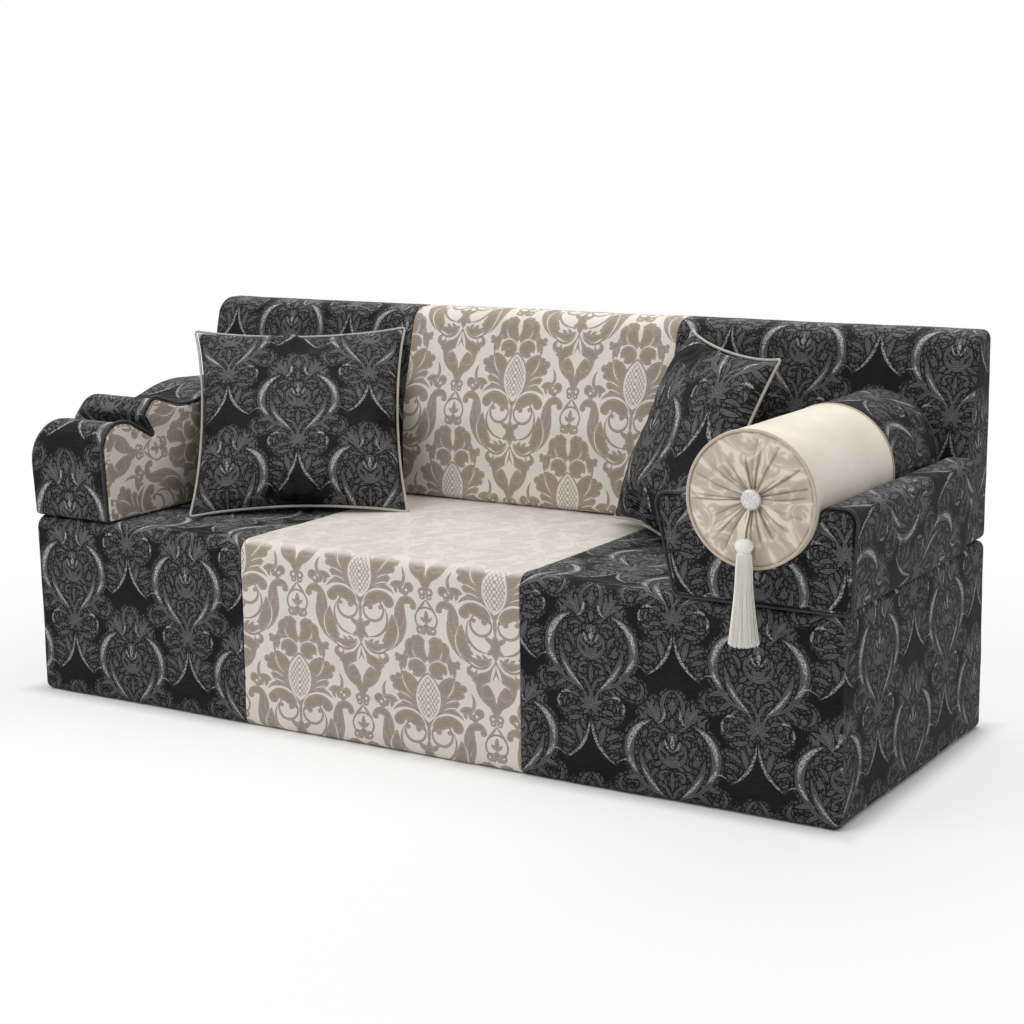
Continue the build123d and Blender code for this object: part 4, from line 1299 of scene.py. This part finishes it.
def make_tassel_skirt(x, y, top):
    """Separate threads that spread and sway a little toward their ends."""
    rng = np.random.default_rng(9)
    golden_angle = 2.399963
    thread = 0.0006
    neck_radius, end_radius, longest = 0.0125, 0.0275, 0.162
    most_sway = 0.0012
    count = 420
    rows = 11
    points, faces = [], []
    for n in range(count):
        share = math.sqrt((n + 0.5) / count)
        a = n * golden_angle
        start = neck_radius * share
        spread = end_radius * share * rng.uniform(0.93, 1.06)
        sway = rng.uniform(-most_sway, most_sway, 2)
        length = longest * rng.uniform(0.975, 1.0)
        base = len(points)
        for k in range(rows):
            t = k / (rows - 1)
            flare = 0.35 * t + 0.65 * t * t * (1.5 - 0.5 * t)
            r = start + (spread - start) * flare + 0.0012 * math.sin(math.pi * min(1, t * 3)) * share
            cx = x + r * math.cos(a) + sway[0] * t * t
            cy = y + r * math.sin(a) + sway[1] * t * t
            for m in range(4):
                dx, dy = around(QUARTER * m + a, thread)
                points.append((cx + dx, cy + dy, top - length * t))
        faces += quads(rows, 4, first=base)[0]
        faces.append((base + 3, base + 2, base + 1, base))
        faces.append(tuple(base + (rows - 1) * 4 + m for m in range(4)))
    return make("tassel_threads", THREAD, points, faces)


def make_tassel():
    """The wound head, the thread that binds it and the skirt of threads."""
    x, y, _ = CORD_END
    head_top, wrap_top, skirt_top = 0.5236, 0.4992, 0.4956
    wrap_radius, wrap_tall, wrap_thread = 0.0108, 0.0043, 0.0006
    winds, steps = 5, 40
    head = make_tassel_head(x, y, head_top)
    coil = []
    for k in range(winds * steps + 1):
        dx, dy = around(TURN * k / steps, wrap_radius)
        coil.append((x + dx, y + dy, wrap_top - wrap_tall * k / (winds * steps)))
    wrap = tube("tassel_wrap", THREAD, coil, wrap_thread, sides=8)
    skirt = make_tassel_skirt(x, y, skirt_top)
    for obj, node in ((head, "tassel_head"), (wrap, "tassel_binding"), (skirt, "tassel_skirt")):
        settle(obj, "tassel", "tassel_thread", node)


make_tassel()


def cushion_matrix(centre, turns, node):
    """Where a cushion lies: its middle, at its node's height, and its bearing, its lean
    and its roll in degrees."""
    bearing, lean, roll = [math.radians(t) for t in turns]
    along = Vector((math.cos(bearing), math.sin(bearing), 0))
    up = Vector((-math.sin(bearing) * math.sin(lean), math.cos(bearing) * math.sin(lean), math.cos(lean)))
    rolled = along * math.cos(roll) + up * math.sin(roll)
    out = along.cross(up)
    low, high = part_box(node)
    return facing(Vector((*centre, (low.z + high.z) / 2)), rolled, out.cross(rolled), out)


def puffed_grid(width, height, n):
    """Two flat sheets sewn at their rims, a little apart, ready to be blown up."""
    puff = 0.012
    points, index = [], {}
    faces = []
    for side in (1, -1):
        for j in range(n + 1):
            for i in range(n + 1):
                rim = i in (0, n) or j in (0, n)
                if rim and side == -1:
                    index[side, i, j] = index[1, i, j]
                    continue
                u, v = 2 * i / n - 1, 2 * j / n - 1
                gap = puff * (1 - u ** 4) * (1 - v ** 4)
                index[side, i, j] = len(points)
                points.append((u * width / 2, v * height / 2, side * gap))
        for j in range(n):
            for i in range(n):
                face = [index[side, i + a, j + b] for a, b in ((0, 0), (1, 0), (1, 1), (0, 1))]
                faces.append(face[::side])
    rim = [index[1, i, 0] for i in range(n)] + [index[1, n, j] for j in range(n)]
    rim += [index[1, i, n] for i in range(n, 0, -1)] + [index[1, 0, j] for j in range(n, 0, -1)]
    return np.array(points), faces, rim


BLOWN_CLOTH = {
    "quality": 7,
    "mass": 0.25,
    "tension_stiffness": 25,
    "compression_stiffness": 20,
    "shear_stiffness": 6,
    "bending_stiffness": 0.35,
    "air_damping": 2.0,
    "use_pressure": True,
    "uniform_pressure_force": 6.0,
}


def blown(points, faces, seed):
    """Runs Cloth with pressure on the sewn sheets and gives the settled points."""
    frames = 26
    uneven = 0.0003
    rng = np.random.default_rng(seed)
    mesh = bpy.data.meshes.new("blow")
    mesh.from_pydata((points + rng.normal(0, uneven, points.shape)).tolist(), [], faces)
    obj = placed("blow", mesh)
    cloth = obj.modifiers.new("cloth", "CLOTH")
    for key, value in BLOWN_CLOTH.items():
        setattr(cloth.settings, key, value)
    cloth.settings.effector_weights.gravity = 0
    cloth.collision_settings.use_collision = False
    cloth.point_cache.frame_start = 1
    cloth.point_cache.frame_end = frames
    scene = bpy.context.scene
    for n in range(1, frames + 1):
        scene.frame_set(n)
    graph = bpy.context.evaluated_depsgraph_get()
    where = read(obj.evaluated_get(graph).to_mesh().vertices, "co", 3)
    obj.evaluated_get(graph).to_mesh_clear()
    bpy.data.objects.remove(obj)
    bpy.data.meshes.remove(mesh)
    scene.frame_set(1)
    return where


def trued(flat, shaped, rim, width, height):
    """Draws a blown cushion back to its size, with its seam in one plane and its sides
    drawn in between the corners."""
    bow, square = 0.085, 0.015
    inside = 0.982
    level = np.zeros(len(flat))
    corners = np.zeros(len(flat))
    spot = flat[:, :2] / np.abs(flat[:, :2]).max(0)
    for axis, size in ((0, width), (1, height)):
        v = spot[:, 1 - axis]
        ends = []
        for way in (-1, 1):
            side = np.array([k for k in rim if abs(spot[k, axis] - way) < 1e-4])
            side = side[np.argsort(v[side])]
            ends.append(np.interp(v, v[side], shaped[side, axis]))
            share = (1 + way * spot[:, axis]) / 2
            level += np.interp(v, v[side], shaped[side, 2]) * share
            if axis == 0:
                for end, k in ((-1, side[0]), (1, side[-1])):
                    corners += shaped[k, 2] * share * (1 + end * spot[:, 1]) / 2
        target = size / 2 * (1 - bow * (1 - v ** 2) - square * (1 - v ** 8))
        place = 2 * (shaped[:, axis] - ends[0]) / (ends[1] - ends[0]) - 1
        inner = np.abs(spot[:, axis]) < 0.9999
        place[inner] = np.clip(place[inner], -inside, inside)
        shaped[:, axis] = place * target
    shaped[:, 2] -= level - corners
    return shaped


def make_cushion(name, width, height, centre, turns, seed, rule):
    """A throw cushion: the blown pad with its zip's slot, and piping round its seam."""
    crown = 0.074
    slack = 1.10
    grid = 52
    zip_length = 0.17
    welt, beyond_seam = 0.003, 0.0042
    smooth_over = 80
    points, faces, rim = puffed_grid(width * slack, height * slack, grid)
    shaped = blown(points, faces, seed)
    shaped -= shaped[rim].mean(0)
    shaped = trued(points, shaped, rim, width, height)
    shaped[:, 2] *= crown * 0.97 / np.abs(shaped[:, 2]).max()
    matrix = cushion_matrix(centre, turns, f"{name}_piping")
    corner = [(shaped[v][0], shaped[v][1]) for f in faces for v in f]
    pad = make(f"{name}_pad", DARK, shaped, faces, corner, smooth_over)
    lay_cloth(pad, rule)
    pad.data.transform(matrix)
    zip_at = Matrix.Translation((0, -0.6 * height / 2, -0.79 * crown))
    zip_place = zip_at @ Matrix.Rotation(math.pi, 4, "X")
    smoother = pad.modifiers.new("smooth", "SUBSURF")
    smoother.levels = 1
    smoother.render_levels = 1
    cut_slot(pad, matrix @ zip_place, zip_length)
    hidden = (f"{name}_cover_front", f"{name}_cover_back")
    settle(pad, name, "dark_damask", f"{name}_filling", *hidden, fill=0.7)
    line = shaped[rim]
    line = line + line / np.linalg.norm(line, axis=1)[:, None] * beyond_seam
    line = (line + (np.roll(line, 1, 0) + np.roll(line, -1, 0)) / 2) / 2
    piping = tube(f"{name}_welt", PIPE_GREY, line, welt, True)
    piping.data.transform(matrix)
    settle(piping, name, "grey_piping", f"{name}_piping")


def on_the_slant(u, v):
    """The right cushion's cloth, turned a little and shrunk."""
    c, s = 0.985, 0.17
    size = 0.8
    return (u * c + v * s) * size + 5.5, (v * c - u * s) * size + 1.0


make_cushion(
    "left_cushion",
    width=0.472,
    height=0.462,
    centre=(-0.515, 0.026),
    turns=(34.6, 36.2, 0.0),
    seed=31,
    rule=shifted(0, -1.4, (1.08, 1.08)),
)
make_cushion(
    "right_cushion",
    width=0.440,
    height=0.420,
    centre=(0.442, 0.067),
    turns=(-40.3, 23.6, -1.8),
    seed=32,
    rule=on_the_slant,
)

for name, node in nodes.items():
    for ending, material in (("_zip", TAPE), ("_zip_slider", METAL)):
        if name.endswith(ending):
            node.data.materials.clear()
            node.data.materials.append(material)


def seen_ray(tree):
    """Is 1 for the rays that show the backdrop: straight, mirrored or through glass."""
    rays = [add(tree, "LightPath", pick=f"Is {way} Ray") for way in ("Camera", "Glossy", "Transmission")]
    return calc("MAXIMUM", calc("MAXIMUM", rays[0], rays[1]), rays[2])


def end_in(tree, kind, share, dull, bright):
    """Ends a tree in two shaders, of which the bright one takes that share."""
    mix = add(tree, "MixShader", (share, dull, bright))
    dress(tree.nodes.new("ShaderNodeOutput" + kind), {"Surface": mix})


def make_floor():
    """A matt floor that is white where it is seen, but for the shade round the sofa."""
    reach = 14
    drop = 0.0005
    grey = (0.9, 0.9, 0.9)
    contact_from_to = (-0.01, 0.06)
    shade_from_to = (1.1, 2.3)
    nearest_white = 0.70
    mesh = bpy.data.meshes.new("floor")
    corners = [(-reach, -reach, 0), (reach, -reach, 0), (reach, reach, 0), (-reach, reach, 0)]
    mesh.from_pydata(corners, [], [(0, 1, 2, 3)])
    floor = placed("floor", mesh)
    floor.location.z = -drop
    material = bpy.data.materials.new("floor")
    material.use_nodes = True
    tree = material.node_tree
    tree.nodes.clear()
    place = add(tree, "NewGeometry", pick="Position")
    x, y, _ = parts(place)
    beside = calc("ABSOLUTE", x) - SEAT_X[1]
    before = calc("ABSOLUTE", y) - SEAT_Y[1]
    # Painted shade: the floor's white glow fades out toward the sofa's foot and is lowered round it,
    # darkening the floor there along with its real shadow
    contact = sweep(calc("MAXIMUM", beside, before), *contact_from_to, 0, 1)
    white = sweep(distance(place, 0, 0), *shade_from_to, nearest_white, 1) * contact
    matt = add(tree, "BsdfDiffuse", {"Color": grey})
    end_in(tree, "Material", white * seen_ray(tree), matt, add(tree, "Emission"))
    mesh.materials.append(material)


# Where each lamp stands, where it points, its size and its power
LAMPS = (
    ((-1.4, -2.6, 3.3), (0, 0, 0.4), 2.6, 62),
    ((3.2, -2.2, 2.4), (0.3, 0, 0.4), 2.0, 9),
    ((0.2, 0.9, 3.4), (0, 0.1, 0.5), 2.4, 58),
)


def make_studio():
    """A white world, dimmer for what it lights than where it is seen, and three lamps."""
    world = bpy.data.worlds.new("studio")
    world.use_nodes = True
    bpy.context.scene.world = world
    tree = world.node_tree
    tree.nodes.clear()
    soft = add(tree, "Background", {"Color": (1.0, 0.99, 0.97), "Strength": 0.50})
    plain = add(tree, "Background", {"Color": (1, 1, 1), "Strength": 1.0})
    end_in(tree, "World", seen_ray(tree), soft, plain)
    for where, aim, size, power in LAMPS:
        data = bpy.data.lights.new("softbox", "AREA")
        data.size = size
        data.energy = power
        lamp = placed("softbox", data)
        lamp.location = where
        lamp.rotation_mode = "QUATERNION"
        lamp.rotation_quaternion = (Vector(aim) - Vector(where)).to_track_quat("-Z", "Y")
    bpy.context.scene.view_settings.view_transform = "Standard"


make_floor()
make_studio()
